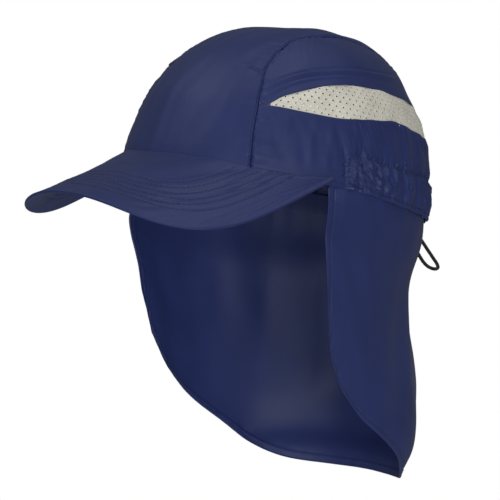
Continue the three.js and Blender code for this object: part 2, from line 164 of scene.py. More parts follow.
# Lengths of cloth for one degree round the crown's side, for its whole height there, and for
# its whole height at the front
MM_PER_DEGREE = 1.6
MM_PER_HEIGHT = 128
FRONT_MM_PER_HEIGHT = 125

# How the cloth rounds down to a seam, and how deep each turned-in grid line lies under it
SEAM_ROUNDING = 1.4
TURNED_IN = 0.7

CROWN_LINES = table(
    ("up", "front", "frontRise", "side", "sideRise", "back", "backRise"),
    (
        (0.00, 1.000, 0.000, 1.000, 0.000, 0.985, 0.000),
        (0.09, 0.985, 0.100, 0.992, 0.115, 0.990, 0.130),
        (0.18, 0.947, 0.270, 0.962, 0.275, 0.972, 0.280),
        (0.27, 0.905, 0.410, 0.920, 0.425, 0.930, 0.440),
        (0.36, 0.832, 0.550, 0.845, 0.570, 0.858, 0.580),
        (0.45, 0.754, 0.660, 0.765, 0.680, 0.772, 0.700),
        (0.55, 0.643, 0.768, 0.655, 0.800, 0.665, 0.838),
        (0.64, 0.523, 0.848, 0.535, 0.890, 0.545, 0.940),
        (0.73, 0.400, 0.904, 0.405, 0.953, 0.413, 1.003),
        (0.82, 0.280, 0.940, 0.285, 0.980, 0.290, 1.022),
        (0.91, 0.140, 0.972, 0.140, 0.992, 0.145, 1.015),
        (1.00, 0.000, 0.995, 0.000, 0.995, 0.000, 0.995),
    ),
)
CENTRE_SEAM = table(
    ("way", "up", "angle"),
    (
        (0.00, -0.025, 40.5),
        (0.10, 0.090, 39.5),
        (0.16, 0.155, 38.6),
        (0.25, 0.250, 38.0),
        (0.32, 0.330, 37.5),
        (0.40, 0.420, 36.8),
        (0.46, 0.495, 38.5),
        (0.52, 0.550, 41.0),
        (0.58, 0.604, 44.6),
        (0.70, 0.687, 65.0),
        (0.80, 0.708, 96.0),
        (0.88, 0.653, 125.0),
        (0.94, 0.534, 144.6),
        (1.00, 0.400, 155.0),
    ),
)
SIDE_HEIGHTS = table(
    ("angle", "hem", "casing", "meshFoot", "meshTop"),
    (
        (38, -0.025, 0.140, 0.257, 0.257),
        (42, -0.025, 0.140, 0.256, 0.258),
        (44, -0.025, 0.140, 0.256, 0.272),
        (46, -0.025, 0.140, 0.256, 0.289),
        (50, -0.025, 0.140, 0.255, 0.309),
        (60, -0.022, 0.140, 0.253, 0.352),
        (70, -0.013, 0.140, 0.255, 0.387),
        (80, -0.014, 0.138, 0.270, 0.406),
        (90, -0.020, 0.134, 0.285, 0.415),
        (100, -0.030, 0.130, 0.298, 0.415),
        (110, -0.034, 0.132, 0.290, 0.414),
        (125, -0.040, 0.132, 0.281, 0.405),
        (140, -0.042, 0.130, 0.276, 0.400),
        (180, -0.042, 0.130, 0.275, 0.400),
    ),
)
FLAP_SECTIONS = table(
    ("level", "side", "middle", "reach"),
    (
        (0.000, 1.015, -0.24, 1.170),
        (0.100, 1.020, -0.24, 1.150),
        (0.182, 1.012, -0.22, 1.130),
        (0.287, 0.982, -0.16, 1.012),
        (0.376, 0.967, -0.14, 0.996),
        (0.508, 0.939, -0.10, 0.993),
        (0.608, 0.927, -0.05, 0.972),
        (0.707, 0.921, 0.05, 0.876),
        (0.807, 0.915, 0.13, 0.763),
        (0.890, 0.873, 0.16, 0.694),
        (0.950, 0.824, 0.15, 0.640),
        (1.000, 0.790, 0.15, 0.620),
    ),
)
FLAP_EDGE = table(
    ("around", "level", "angle"),
    (
        (0.00, 0.514, 102.5),
        (0.07, 0.575, 101),
        (0.15, 0.641, 100),
        (0.24, 0.718, 98),
        (0.32, 0.768, 94),
        (0.42, 0.841, 84),
        (0.60, 0.931, 67),
        (0.76, 0.986, 46),
        (0.90, 1.001, 20),
        (1.00, 1.002, 0),
    ),
)
# How far the flap's free front edge hangs ahead of the plain form, in mm
FLAP_FRONT = table(
    ("down", "ahead"),
    ((0, 4.0), (0.25, 3.2), (0.42, 2.4), (0.58, 4.6), (0.72, 3.6), (0.87, 1.4), (1, 0.4)),
)
# The flap's soft folds: place and width as shares of the way from the front edge to the back's
# middle, depth, and the shares of the way down where the fold begins and ends
FLAP_FOLDS = (
    (0.28, 0.10, 0.55, 0.05, 0.75),
    (0.50, 0.11, -0.70, 0.05, 0.85),
    (0.70, 0.12, -1.60, 0.02, 0.95),
    (0.86, 0.10, 2.20, 0.02, 0.95),
    (1.00, 0.06, 0.60, 0.02, 0.95),
)
# Where the side panel's slack cloth throws its ridge above the mesh
TUCK = table(
    ("angle", "up"),
    (
        (38, 0.325), (41, 0.350), (48, 0.395), (57, 0.440), (67, 0.470),
        (78.5, 0.495), (92.5, 0.510), (114.5, 0.530), (150, 0.545),
    ),
)
CORD_ROUTE = (
    (4.5, 96.4, -30.6),
    (4.8, 108, -32),
    (5, 119, -37.6),
    (5.2, 130.8, -49.9),
    (5.4, 134.6, -54.2),
    (5.4, 138, -57.9),
    (3.8, 140.7, -60.8),
    (-0.2, 141.8, -62),
    (-4.2, 140.7, -60.8),
    (-5.8, 138, -57.9),
    (-5.8, 134.6, -54.2),
    (-5.6, 130.8, -49.9),
    (-5, 118.5, -37.4),
    (-4.8, 108, -32.2),
    (-4.5, 96.4, -30.8),
)


# The cap's own forms


def as_worn(x, y, z):
    c, s = math.cos(WORN_TILT), math.sin(WORN_TILT)
    return np.stack(np.broadcast_arrays(x, y * c + z * s, z * c - y * s), -1)


def on_map(angle, up):
    return (1 - up) * np.sin(angle), -(1 - up) * np.cos(angle)


def from_map(x, y):
    return np.arctan2(x, -y), 1 - np.hypot(x, y)


def rounded(angle):
    return np.abs(np.arctan2(np.sin(angle), np.cos(angle)))


def height_at(column, angle):
    return follow(SIDE_HEIGHTS, column, np.degrees(rounded(angle)))


def crown_form(x, y):
    angle, up = from_map(x, y)
    cosine = np.cos(angle)
    front = cosine > 0
    end_rise, reach = (
        np.where(front, follow(CROWN_LINES, ahead, up), follow(CROWN_LINES, behind, up))
        for ahead, behind in (("frontRise", "backRise"), ("front", "back"))
    )
    rise = lerp(follow(CROWN_LINES, "sideRise", up), end_rise, cosine * cosine)
    return as_worn(
        HEAD_HALF_WIDTH * follow(CROWN_LINES, "side", up) * np.sin(angle),
        -HEAD_HALF_LENGTH * reach * cosine,
        CROWN_HEIGHT * rise,
    )


def crown_normal(x, y, reach=0.004):
    across = crown_form(x + reach, y) - crown_form(x - reach, y)
    along = crown_form(x, y + reach) - crown_form(x, y - reach)
    return unit(np.cross(across, along))


def unit(vectors):
    return vectors / np.maximum(np.linalg.norm(vectors, axis=-1, keepdims=True), 1e-12)


def gather_height(angle, up, pleats=1.0, lean=PLEAT_LEAN):
    """How far the casing puffs out and its pleats stand in or out, in mm, as the part's source
    has it. A smaller pleats and a wider lean soften them for the flap's top."""
    turn = rounded(angle)
    on = smoothstep(turn, GATHER_START_ANGLE - lean, GATHER_START_ANGLE + lean)
    hem, crease, foot = (height_at(name, angle) for name in ("hem", "casing", "meshFoot"))
    share = (turn - GATHER_START_ANGLE) / (np.pi - GATHER_START_ANGLE)
    drift = sum(size * np.sin(turns * share) for turns, size in PLEAT_DRIFTS)
    pleat = pleats * np.cos(np.pi * (PLEATS * share + drift))
    climb = np.clip((up - hem) / (crease - hem), 0, 1)
    puff = np.sin(np.pi * lerp(0.25, 1, climb))
    below = CASING_PUFF * puff + PLEAT_DEPTH * pleat * lerp(0.6, 0.9, puff)
    fade = 1 - smoothstep(up, crease, foot)
    above = PLEAT_DEPTH * pleat * lerp(0.25, 0.54, fade)
    return on * np.where(up < crease, below, above)


def seam(way, hand=1):
    x, y = on_map(np.radians(follow(CENTRE_SEAM, "angle", way)), follow(CENTRE_SEAM, "up", way))
    return hand * x, y


def seam_way_at(up):
    ways = np.linspace(0, TOP_EDGE_SHARE, 400)
    return np.interp(up, follow(CENTRE_SEAM, "up", ways), ways)


def between(bottom, top, left, right, u, v):
    """Spot inside four edge curves, which meet at the corners."""
    zero, one = np.zeros_like(u), np.ones_like(u)
    spot = []
    for k in (0, 1):
        spot.append(
            bottom(u)[k] * (1 - v) + top(u)[k] * v + left(v)[k] * (1 - u) + right(v)[k] * u
            - bottom(zero)[k] * (1 - u) * (1 - v) - bottom(one)[k] * u * (1 - v)
            - top(zero)[k] * (1 - u) * v - top(one)[k] * u * v
        )
    return spot


def lines(count, turned_in=(0, 0), crowd=0.8):
    """Grid lines from 0 to 1, crowded near both ends, and for each the steps that it lies
    past an end, where the cloth is turned in."""
    i = np.arange(count + 1)
    t = np.clip((i - turned_in[0]) / (count - sum(turned_in)), 0, 1)
    past = np.maximum(turned_in[0] - i, 0) + np.maximum(i - count + turned_in[1], 0)
    return t - crowd * np.sin(2 * np.pi * t) / (2 * np.pi), past


def grid_of(across, along):
    u, v = np.meshgrid(across[0], along[0])
    turned = np.maximum(*np.meshgrid(across[1], along[1]))
    return u, v, turned


def lengths(points, axis):
    """Length along the grid's lines from their first point, in mm."""
    steps = np.linalg.norm(np.diff(points, axis=axis), axis=-1)
    return np.insert(np.cumsum(steps, axis=axis), 0, 0, axis=axis)


def from_edges(points):
    """Distance from the grid's left, right, bottom and top edge, in mm."""
    across, along = lengths(points, 1), lengths(points, 0)
    return across, across[:, -1:] - across, along, along[-1:] - along


def turned_edge(distance, radius):
    """Depth of cloth that rounds down to a seam, 0 where it is flat."""
    left = np.clip(1 - distance / radius, 0, 1)
    return radius * (1 - np.sqrt(np.maximum(1 - left * left, 0)))


# Blender's side: objects, meshes and materials


def select_only(obj):
    bpy.ops.object.select_all(action="DESELECT")
    obj.select_set(True)
    bpy.context.view_layer.objects.active = obj


def lay_grid(name, points):
    """A grid primitive laid on points[row, column], in mm, with its UV map in metres of cloth."""
    rows, columns = points.shape[:2]
    bpy.ops.object.select_all(action="DESELECT")
    bpy.ops.mesh.primitive_grid_add(x_subdivisions=columns - 1, y_subdivisions=rows - 1, size=1)
    sheet = bpy.context.object
    sheet.name = sheet.data.name = name
    mesh = sheet.data
    if len(mesh.vertices) != rows * columns:
        raise RuntimeError(f"{name}: the grid has {len(mesh.vertices)} points")
    flat = np.empty(len(mesh.vertices) * 3)
    mesh.vertices.foreach_get("co", flat)
    flat = flat.reshape(-1, 3)
    i = np.rint((flat[:, 0] + 0.5) * (columns - 1)).astype(int)
    j = np.rint((flat[:, 1] + 0.5) * (rows - 1)).astype(int)
    mesh.vertices.foreach_set("co", (points[j, i] * MM).ravel())
    across, along = lengths(points, 1), lengths(points, 0)
    across = across - across[:, columns // 2, None]
    corner = np.empty(len(mesh.loops), int)
    mesh.loops.foreach_get("vertex_index", corner)
    place = np.stack([across[j, i], along[j, i]], -1)[corner] * MM
    mesh.uv_layers[0].data.foreach_set("uv", place.ravel())
    mesh.update()
    return sheet


DOUBLING_STEPS = 8
SHARP_ANGLE = math.radians(60)


def thicken(sheet, cloth, doubled=None):
    """Give the sheet its cloth's thickness, twice that where doubled, a share for each point in
    the grid's order, is 1."""
    if doubled is not None:
        group = sheet.vertex_groups.new(name="doubled")
        steps = np.rint(doubled.ravel() * DOUBLING_STEPS).astype(int)
        for step in range(1, DOUBLING_STEPS + 1):
            group.add(np.flatnonzero(steps == step).tolist(), step / DOUBLING_STEPS, "REPLACE")
        cloth = cloth * 2
    select_only(sheet)
    bpy.ops.object.modifier_add(type="SOLIDIFY")
    solid = sheet.modifiers[-1]
    solid.thickness = cloth * MM
    solid.offset = -1
    if doubled is not None:
        solid.vertex_group = "doubled"
        solid.thickness_vertex_group = 0.5
    bpy.ops.object.modifier_apply(modifier=solid.name)
    bpy.ops.object.shade_smooth_by_angle(angle=SHARP_ANGLE)


def dress(piece, material, slot, *nodes):
    piece.data.materials.clear()
    piece.data.materials.append(material)
    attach(piece, "root")
    if nodes:
        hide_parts(*nodes)


def resample(path, pitch):
    """Points and directions along a path, pitch apart, in mm."""
    way = np.r_[0, np.cumsum(np.linalg.norm(np.diff(path, axis=0), axis=1))]
    count = max(int(way[-1] / pitch), 2)
    at = (np.arange(count) + 0.5) * way[-1] / count
    points = np.stack([np.interp(at, way, path[:, k]) for k in range(3)], -1)
    ahead = np.stack([np.interp(at + 0.05, way, path[:, k]) for k in range(3)], -1)
    behind = np.stack([np.interp(at - 0.05, way, path[:, k]) for k in range(3)], -1)
    return points, unit(ahead - behind)


def make_mesh(name, vertices, faces, uv=None):
    mesh = bpy.data.meshes.new(name)
    mesh.from_pydata((np.asarray(vertices) * MM).tolist(), [], [list(map(int, f)) for f in faces])
    if uv is not None:
        layer = mesh.uv_layers.new(name="UVMap")
        corner = np.empty(len(mesh.loops), int)
        mesh.loops.foreach_get("vertex_index", corner)
        layer.data.foreach_set("uv", (np.asarray(uv)[corner] * MM).ravel())
    mesh.update()
    piece = bpy.data.objects.new(name, mesh)
    bpy.context.scene.collection.objects.link(piece)
    return piece


# One stitch: the share of the pitch that shows, the rings of its thread, each with its share
# of the way and of the girth, and how high it arches and how deep its ends lie, in threads
STITCH_SHARE = 0.78
STITCH_RINGS = ((0.0, 0.35), (0.22, 0.85), (0.5, 1.0), (0.78, 0.85), (1.0, 0.35))
STITCH_SIDES = 6
STITCH_ARCH = 0.9
STITCH_DIP = 0.35


def stitches(name, runs, stitch, thread):
    """Rows of sewing stitches, each a short thread that dips into the cloth at its ends.
    runs holds (path, outward) pairs, both with a row of xyz for each point."""
    vertices, faces, places = [], [], []
    for path, outward in runs:
        points, ahead = resample(path, stitch)
        way = np.r_[0, np.cumsum(np.linalg.norm(np.diff(path, axis=0), axis=1))]
        at = (np.arange(len(points)) + 0.5) * way[-1] / len(points)
        up = unit(np.stack([np.interp(at, way, outward[:, k]) for k in range(3)], -1))
        side = unit(np.cross(ahead, up))
        for centre, forward, rise, right in zip(points, ahead, up, side):
            first = len(vertices)
            for share, girth in STITCH_RINGS:
                height = STITCH_ARCH * math.sin(math.pi * share) - STITCH_DIP
                middle = centre + forward * stitch * STITCH_SHARE * (share - 0.5)
                middle = middle + rise * thread * height
                for k in range(STITCH_SIDES):
                    turn = 2 * math.pi * k / STITCH_SIDES
                    radius = thread / 2 * girth
                    spoke = math.cos(turn) * right + math.sin(turn) * rise
                    vertices.append(middle + radius * spoke)
                    places.append((k / STITCH_SIDES, share * stitch))
            for ring in range(len(STITCH_RINGS) - 1):
                for k in range(STITCH_SIDES):
                    a = first + ring * STITCH_SIDES + k
                    b = first + ring * STITCH_SIDES + (k + 1) % STITCH_SIDES
                    faces.append((a, a + STITCH_SIDES, b + STITCH_SIDES, b))
            last = first + (len(STITCH_RINGS) - 1) * STITCH_SIDES
            faces.append([first + k for k in range(STITCH_SIDES)])
            faces.append([last + k for k in reversed(range(STITCH_SIDES))])
    piece = make_mesh(name, vertices, faces, places)
    select_only(piece)
    bpy.ops.object.mode_set(mode="EDIT")
    bpy.ops.mesh.select_all(action="SELECT")
    bpy.ops.mesh.normals_make_consistent(inside=False)
    bpy.ops.object.mode_set(mode="OBJECT")
    bpy.ops.object.shade_smooth()
    return piece


def linear(code):
    """Linear colour of an sRGB hex value."""
    shares = [int(code[i : i + 2], 16) / 255 for i in (1, 3, 5)]
    return tuple(s / 12.92 if s <= 0.04045 else ((s + 0.055) / 1.055) ** 2.4 for s in shares)


def add_node(tree, kind, settings=None, **links):
    """A node with its properties set. links gives each input by name, with _ for a space, or by
    number, as i0, and as a value or as an output socket to link."""
    node = tree.nodes.new(kind)
    for key, value in (settings or {}).items():
        setattr(node, key, value)
    for key, value in links.items():
        numbered = key[0] == "i" and key[1:].isdigit()
        socket = node.inputs[int(key[1:]) if numbered else key.replace("_", " ")]
        if isinstance(value, bpy.types.NodeSocket):
            tree.links.new(value, socket)
        else:
            socket.default_value = value
    return node


def new_material(name):
    """An empty material, its node tree and the socket that its surface goes into."""
    material = bpy.data.materials.new(name)
    material.use_nodes = True
    tree = material.node_tree
    tree.nodes.clear()
    return material, tree, add_node(tree, "ShaderNodeOutputMaterial").inputs["Surface"]


def set_stops(ramp, *stops):
    """Set a colour ramp's stops, each a place from 0 to 1 and an sRGB hex value."""
    for stop, (place, code) in zip(ramp.color_ramp.elements, stops):
        stop.position = place
        stop.color = (*linear(code), 1)


MULTIPLY = {"operation": "MULTIPLY"}
MULTIPLY_ADD = {"operation": "MULTIPLY_ADD"}
MAXIMUM = {"operation": "MAXIMUM"}


def thread_lines(tree, place, pitch, axis):
    """Height of one set of threads, 0 to 1, that cross the axis at pitch metres."""
    wave = add_node(
        tree, "ShaderNodeTexWave",
        {"wave_type": "BANDS", "bands_direction": axis, "wave_profile": "SIN"},
        Vector=place, Scale=math.pi / (10 * pitch), Distortion=0.0,
    )
    return wave.outputs["Fac"]


def woven_cloth(name, colours, weave):
    """Plain-woven polyester microfibre, dyed and matt: a fine even weave that the eye reads as
    a soft smooth face, a faint sheen at grazing angles, and slow small shifts in depth of dye."""
    material, tree, surface = new_material(name)
    cloth = add_node(tree, "ShaderNodeTexCoord").outputs["UV"]
    # Shifts of dye about 36 mm wide, and uneven yarns about 4 mm long and 0.4 mm thick
    cloud = add_node(
        tree, "ShaderNodeTexNoise", Vector=cloth, Scale=28.0, Detail=3.0, Roughness=0.55
    ).outputs["Fac"]
    slub = add_node(tree, "ShaderNodeMapping", Vector=cloth, Scale=(1.0, 9.0, 1.0))
    yarn = add_node(
        tree, "ShaderNodeTexNoise", Vector=slub.outputs["Vector"], Scale=260.0, Detail=2.0
    ).outputs["Fac"]
    tone = add_node(tree, "ShaderNodeMath", MULTIPLY_ADD, i0=yarn, i1=0.35, i2=cloud)
    ramp = add_node(tree, "ShaderNodeValToRGB", Fac=tone.outputs["Value"])
    set_stops(ramp, (0.45, colours[0]), (0.95, colours[1]))
    warp = thread_lines(tree, cloth, weave, "X")
    weft = thread_lines(tree, cloth, weave, "Y")
    over = add_node(tree, "ShaderNodeMath", MULTIPLY, i0=warp, i1=weft).outputs["Value"]
    face = add_node(tree, "ShaderNodeMath", MULTIPLY_ADD, i0=yarn, i1=0.6, i2=over)
    relief = add_node(
        tree, "ShaderNodeBump", Height=face.outputs["Value"], Strength=0.35, Distance=0.00006
    )
    rough = add_node(tree, "ShaderNodeMapRange", Value=cloud, To_Min=0.48, To_Max=0.56)
    shader = add_node(
        tree, "ShaderNodeBsdfPrincipled",
        Base_Color=ramp.outputs["Color"], Roughness=rough.outputs["Result"],
        Normal=relief.outputs["Normal"],
        Sheen_Weight=0.02, Sheen_Roughness=0.5, Specular_IOR_Level=0.3,
    )
    tree.links.new(shader.outputs["BSDF"], surface)
    return material


def knitted_mesh(name, colours, pitch):
    """Warp-knitted polyester mesh, pale and undyed: loops in small columns between the pierced
    eyes, with a painted highlight on the loops' faces that shows as fine bright specks, and
    painted shade between them."""
    material, tree, surface = new_material(name)
    cloth = add_node(tree, "ShaderNodeTexCoord").outputs["UV"]
    columns = thread_lines(tree, cloth, pitch, "X")
    courses = thread_lines(tree, cloth, pitch * 0.8, "DIAGONAL")
    loops = add_node(tree, "ShaderNodeMath", MULTIPLY, i0=columns, i1=courses).outputs["Value"]
    # Fuzz about 1 mm wide, and slow shifts of shade about 17 mm wide
    fuzz = add_node(tree, "ShaderNodeTexNoise", Vector=cloth, Scale=900.0, Detail=3.0)
    cloud = add_node(tree, "ShaderNodeTexNoise", Vector=cloth, Scale=60.0, Detail=2.0)
    height = add_node(
        tree, "ShaderNodeMath", MULTIPLY_ADD, i0=fuzz.outputs["Fac"], i1=0.7, i2=loops
    ).outputs["Value"]
    tone = add_node(
        tree, "ShaderNodeMath", MULTIPLY_ADD, i0=cloud.outputs["Fac"], i1=0.5, i2=height
    )
    # The colour follows the loops' height: painted shade between the loops and a painted highlight
    # on their faces, over the mesh's pale tone and its random mottle
    ramp = add_node(tree, "ShaderNodeValToRGB", Fac=tone.outputs["Value"])
    set_stops(ramp, (0.35, colours[0]), (1.0, colours[1]))
    relief = add_node(tree, "ShaderNodeBump", Height=height, Strength=0.6, Distance=0.00015)
    shader = add_node(
        tree, "ShaderNodeBsdfPrincipled",
        Base_Color=ramp.outputs["Color"], Roughness=0.62, Normal=relief.outputs["Normal"],
        Sheen_Weight=0.1, Specular_IOR_Level=0.4,
    )
    tree.links.new(shader.outputs["BSDF"], surface)
    return material


def braided_cord(name, dark, code, pitch):
    """Braided polyester over rubber: black, with fine plaited strands that run both ways round."""
    material, tree, surface = new_material(name)
    cloth = add_node(tree, "ShaderNodeTexCoord").outputs["UV"]
    strands = []
    for turn in (0.6, -0.6):
        leaning = add_node(tree, "ShaderNodeMapping", Vector=cloth, Rotation=(0, 0, turn))
        strands.append(thread_lines(tree, leaning.outputs["Vector"], pitch, "X"))
    plait = add_node(
        tree, "ShaderNodeMath", MAXIMUM, i0=strands[0], i1=strands[1]
    ).outputs["Value"]
    # Darker down between the strands: painted shade in the plait's grooves, from the same height
    # as its relief
    ramp = add_node(tree, "ShaderNodeValToRGB", Fac=plait)
    set_stops(ramp, (0.0, dark), (1.0, code))
    relief = add_node(tree, "ShaderNodeBump", Height=plait, Strength=0.6, Distance=0.00015)
    shader = add_node(
        tree, "ShaderNodeBsdfPrincipled",
        Base_Color=ramp.outputs["Color"], Roughness=0.58, Normal=relief.outputs["Normal"],
        Sheen_Weight=0.1,
    )
    tree.links.new(shader.outputs["BSDF"], surface)
    return material


def sewing_thread(name, code):
    """Twisted polyester sewing thread a little darker than the cloth, its twist just seen."""
    material, tree, surface = new_material(name)
    place = add_node(tree, "ShaderNodeTexCoord").outputs["UV"]
    # Twist about 0.7 mm long
    twist = add_node(tree, "ShaderNodeTexNoise", Vector=place, Scale=1500.0, Detail=1.0)
    relief = add_node(
        tree, "ShaderNodeBump", Height=twist.outputs["Fac"], Strength=0.4, Distance=0.00005
    )
    shader = add_node(
        tree, "ShaderNodeBsdfPrincipled",
        Base_Color=(*linear(code), 1), Roughness=0.6, Normal=relief.outputs["Normal"],
        Sheen_Weight=0.1,
    )
    tree.links.new(shader.outputs["BSDF"], surface)
    return material


MATERIALS = {}


def material_for(kind):
    """The cap's material of this kind, made when it is first asked for."""
    sizes, colours = bpy.context.scene.cap_sizes, bpy.context.scene.cap_colours
    if kind not in MATERIALS:
        make, *facts = {
            "navy": (
                woven_cloth, "navy_microfibre_plain_weave",
                (colours.cloth_dark, colours.cloth_light), sizes.weave_pitch,
            ),
            "mesh": (
                knitted_mesh, "pale_warp_knit_mesh",
                (colours.mesh_painted_shade, colours.mesh_pale_and_highlight), sizes.knit_pitch,
            ),
            "cord": (
                braided_cord, "black_braided_elastic",
                colours.cord_painted_shade, colours.cord, sizes.braid_pitch,
            ),
            "thread": (sewing_thread, "navy_polyester_thread", colours.thread),
        }[kind]
        MATERIALS[kind] = make(*facts)
    return MATERIALS[kind]


# Fine relief of the cloth, in mm over the plain forms


# Beside a seam: the place, width and height of its pits and of its ridge, the pitch of the
# pits, and how high its puckers stand and how far they reach
SEAM_PITS = (0.9, 0.5, 0.38)
SEAM_RIDGE = (2.2, 1.2, 0.2)
SEAM_PIT_PITCH = 2.5
SEAM_PUCKER = 0.22
SEAM_PUCKER_REACH = 7


def seam_relief(distance, along, seed):
    """Cloth beside a sewn seam: a soft ridge, pits at the stitches and small puckers."""
    pits, ridge = (
        height * bump(distance - place, width) for place, width, height in (SEAM_PITS, SEAM_RIDGE)
    )
    pits = pits * (1 - np.cos(2 * np.pi * along / SEAM_PIT_PITCH))
    puckers = SEAM_PUCKER * waves(along, distance, seed, 9, 40)
    return ridge - pits + puckers * np.exp(-distance / SEAM_PUCKER_REACH)


# The dent over the front seam: the share up where it lies at this angle, and its lean
FRONT_CREASE_UP = 0.3975
FRONT_CREASE_ANGLE = 31
FRONT_CREASE_LEAN = 0.25


def centre_points():
    across, along = lines(120, (2, 2)), lines(300, (0, 0), 0.5)
    u, v, turned = grid_of(across, along)

    def edge(way, middle):
        angle, up = from_map(*seam(way))
        side = -1 if middle else 1
        return lambda t: on_map(
            middle + side * np.arcsin((2 * t - 1) * abs(math.sin(angle))), up
        )

    x, y = between(edge(0.0, 0), edge(1.0, math.pi), lambda t: seam(t, -1), seam, u, v)
    form, normal = crown_form(x, y), crown_normal(x, y)
    from_left, from_right, from_front, _ = from_edges(form)
    near = np.minimum(from_left, from_right)
    angle, up = from_map(x, y)
    relief = 0.22 * waves(from_left - from_right, from_front, 3, 70, 90)
    relief += np.where(
        from_left < from_right,
        seam_relief(from_left, from_front, 11),
        seam_relief(from_right, from_front, 12),
    )
    turn = np.degrees(np.abs(angle))
    crease = (up - FRONT_CREASE_UP) * FRONT_MM_PER_HEIGHT
    crease = crease + FRONT_CREASE_LEAN * (turn - FRONT_CREASE_ANGLE)
    in_front = (y < 0) * smoothstep(turn, 23, 30)
    relief += in_front * 0.8 * slack_fold(crease, 1.2, 1.1, 0.8, 1.0)
    relief -= turned_edge(near, SEAM_ROUNDING) + turned * TURNED_IN
    return form + normal * relief[..., None]


# Past the mesh's tip the side panel's edge laps this share of the height over the band's, and
# the lap ends between these angles
TIP_LAP = 0.0035
TIP_LAP_ENDS = (41, 43)


def side_points(hand):
    across, along = lines(170, (2, 2)), lines(86, (0, 2))
    u, v, turned = grid_of(across, along)
    start = math.radians(follow(CENTRE_SEAM, "angle", MESH_TIP_SHARE))
    finish = math.radians(follow(CENTRE_SEAM, "angle", 1))

    def stretch(first, last):
        return lambda t: seam(lerp(first, last, t))

    left, right = stretch(MESH_TIP_SHARE, TOP_EDGE_SHARE), stretch(1, BACK_EDGE_SHARE)
    top = stretch(TOP_EDGE_SHARE, BACK_EDGE_SHARE)

    def bottom(t):
        angle = lerp(start, finish, t)
        lap = TIP_LAP * (1 - smoothstep(np.degrees(angle), *TIP_LAP_ENDS))
        spot = on_map(angle, height_at("meshTop", angle) - lap)
        near, far = (
            [a - b for a, b in zip(corner, on_map(end, height_at("meshTop", end)))]
            for corner, end in ((left(0.0), start), (right(0.0), finish))
        )
        return [s + n * (1 - t) + f * t for s, n, f in zip(spot, near, far)]

    x, y = between(bottom, top, left, right, u, v)
    form, normal = crown_form(x, y), crown_normal(x, y)
    from_left, from_right, from_mesh, from_top = from_edges(form)
    angle, up = from_map(x, y)
    turn = np.degrees(angle)
    near = np.minimum(np.minimum(from_left, from_right), from_top)
    along_seam = np.where(from_top < np.minimum(from_left, from_right), from_left, from_mesh)
    relief = 0.2 * waves(from_left, from_mesh, 5, 60, 40) + seam_relief(near, along_seam, 13)
    # The slack ridge with its crease, and a shorter, lower one beneath it
    over = (up - follow(TUCK, "up", turn)) * MM_PER_HEIGHT
    relief += span(turn, 36, 46, 100, 135) * slack_fold(over, -1.8, 1.9, 0.8, 0.8)
    lower = over + 5.5 - 0.02 * (turn - 45)
    relief += span(turn, 37, 43, 60, 85) * 0.6 * slack_fold(lower, -0.9, 1.1, 0.7, 0.9)
    relief -= turned_edge(near, SEAM_ROUNDING) + turned * TURNED_IN + turned_edge(from_mesh, 0.5)
    points = form + normal * relief[..., None]
    if hand < 0:
        points = points[:, ::-1] * (-1, 1, 1)
    return points


# The casing, in degrees round and mm above the hem: where its gathers come in, are deepest and
# calm down, the line of its front end, its hem seam, and the dimple in it
GATHERS_COME_IN = (75.5, 79.5)
GATHERS_DEEPEST = 82
GATHERS_CALM = (95, 110)
CASING_END_ANGLE = 76.6
CASING_HEM_SEAM = 3.0
CASING_DIMPLE = (94.8, 4.5)
# The plain band's soft folds: angle, width and height
BAND_FOLDS = ((49.8, 2.6, 0.5), (60.6, 2.8, 0.5), (67.5, 2.2, 0.3))


def casing_relief(turn, climb, around, above):
    """Relief of the gathered casing over its pleats. climb is 0 at the hem and 1 at the seam
    over the casing."""
    on = smoothstep(turn, *GATHERS_COME_IN)
    deepest = bump(turn - GATHERS_DEEPEST, 8)
    window = span(climb, 0.04, 0.25, 0.85, 1.0) * (1 - 0.4 * smoothstep(turn, *GATHERS_CALM))
    # Upright puckers, slanting ones across them, and small tight ones at both seams
    puckers = round_hills(waves(around, above, 21, 11, 34))
    relief = on * window * (1.0 + 0.8 * deepest) * puckers
    slanted = 0.83 * around + 0.55 * above, 0.83 * above - 0.55 * around
    relief += on * window * (0.3 + 0.9 * deepest) * round_hills(waves(*slanted, 26, 6, 26))
    fine = round_hills(waves(around, above, 22, 5.5, 22))
    relief += on * 0.5 * fine * (1 - smoothstep(above, 0, 9) * (1 - bump(climb - 1, 0.35)))
    # Grooves at the seam over the casing and at its hem seam, and the dimple
    relief -= on * 1.4 * bump((climb - 1) * 21 + 0.5 * puckers, 1.0)
    relief -= on * 0.8 * bump(above - CASING_HEM_SEAM - 0.3 * puckers, 0.8)
    dimple = np.hypot((turn - CASING_DIMPLE[0]) * MM_PER_DEGREE, above - CASING_DIMPLE[1])
    relief -= 1.6 * bump(dimple, 2.6)
    # The casing's front end: a full uneven edge with a sharp crease before it
    start = (turn - CASING_END_ANGLE + 2.1 * climb) * MM_PER_DEGREE
    zigzag = waves(above, start, 23, 6.5, 30)
    full = span(climb, 0.05, 0.2, 0.95, 1.1) * bump(start - 1.5, 3.2)
    relief += full * (1.4 * round_hills(zigzag) + 0.3)
    relief -= 0.9 * bump(start + 1.6 + 0.6 * zigzag, 1.0) * span(climb, 0.1, 0.3, 0.95, 1.1)
    return relief


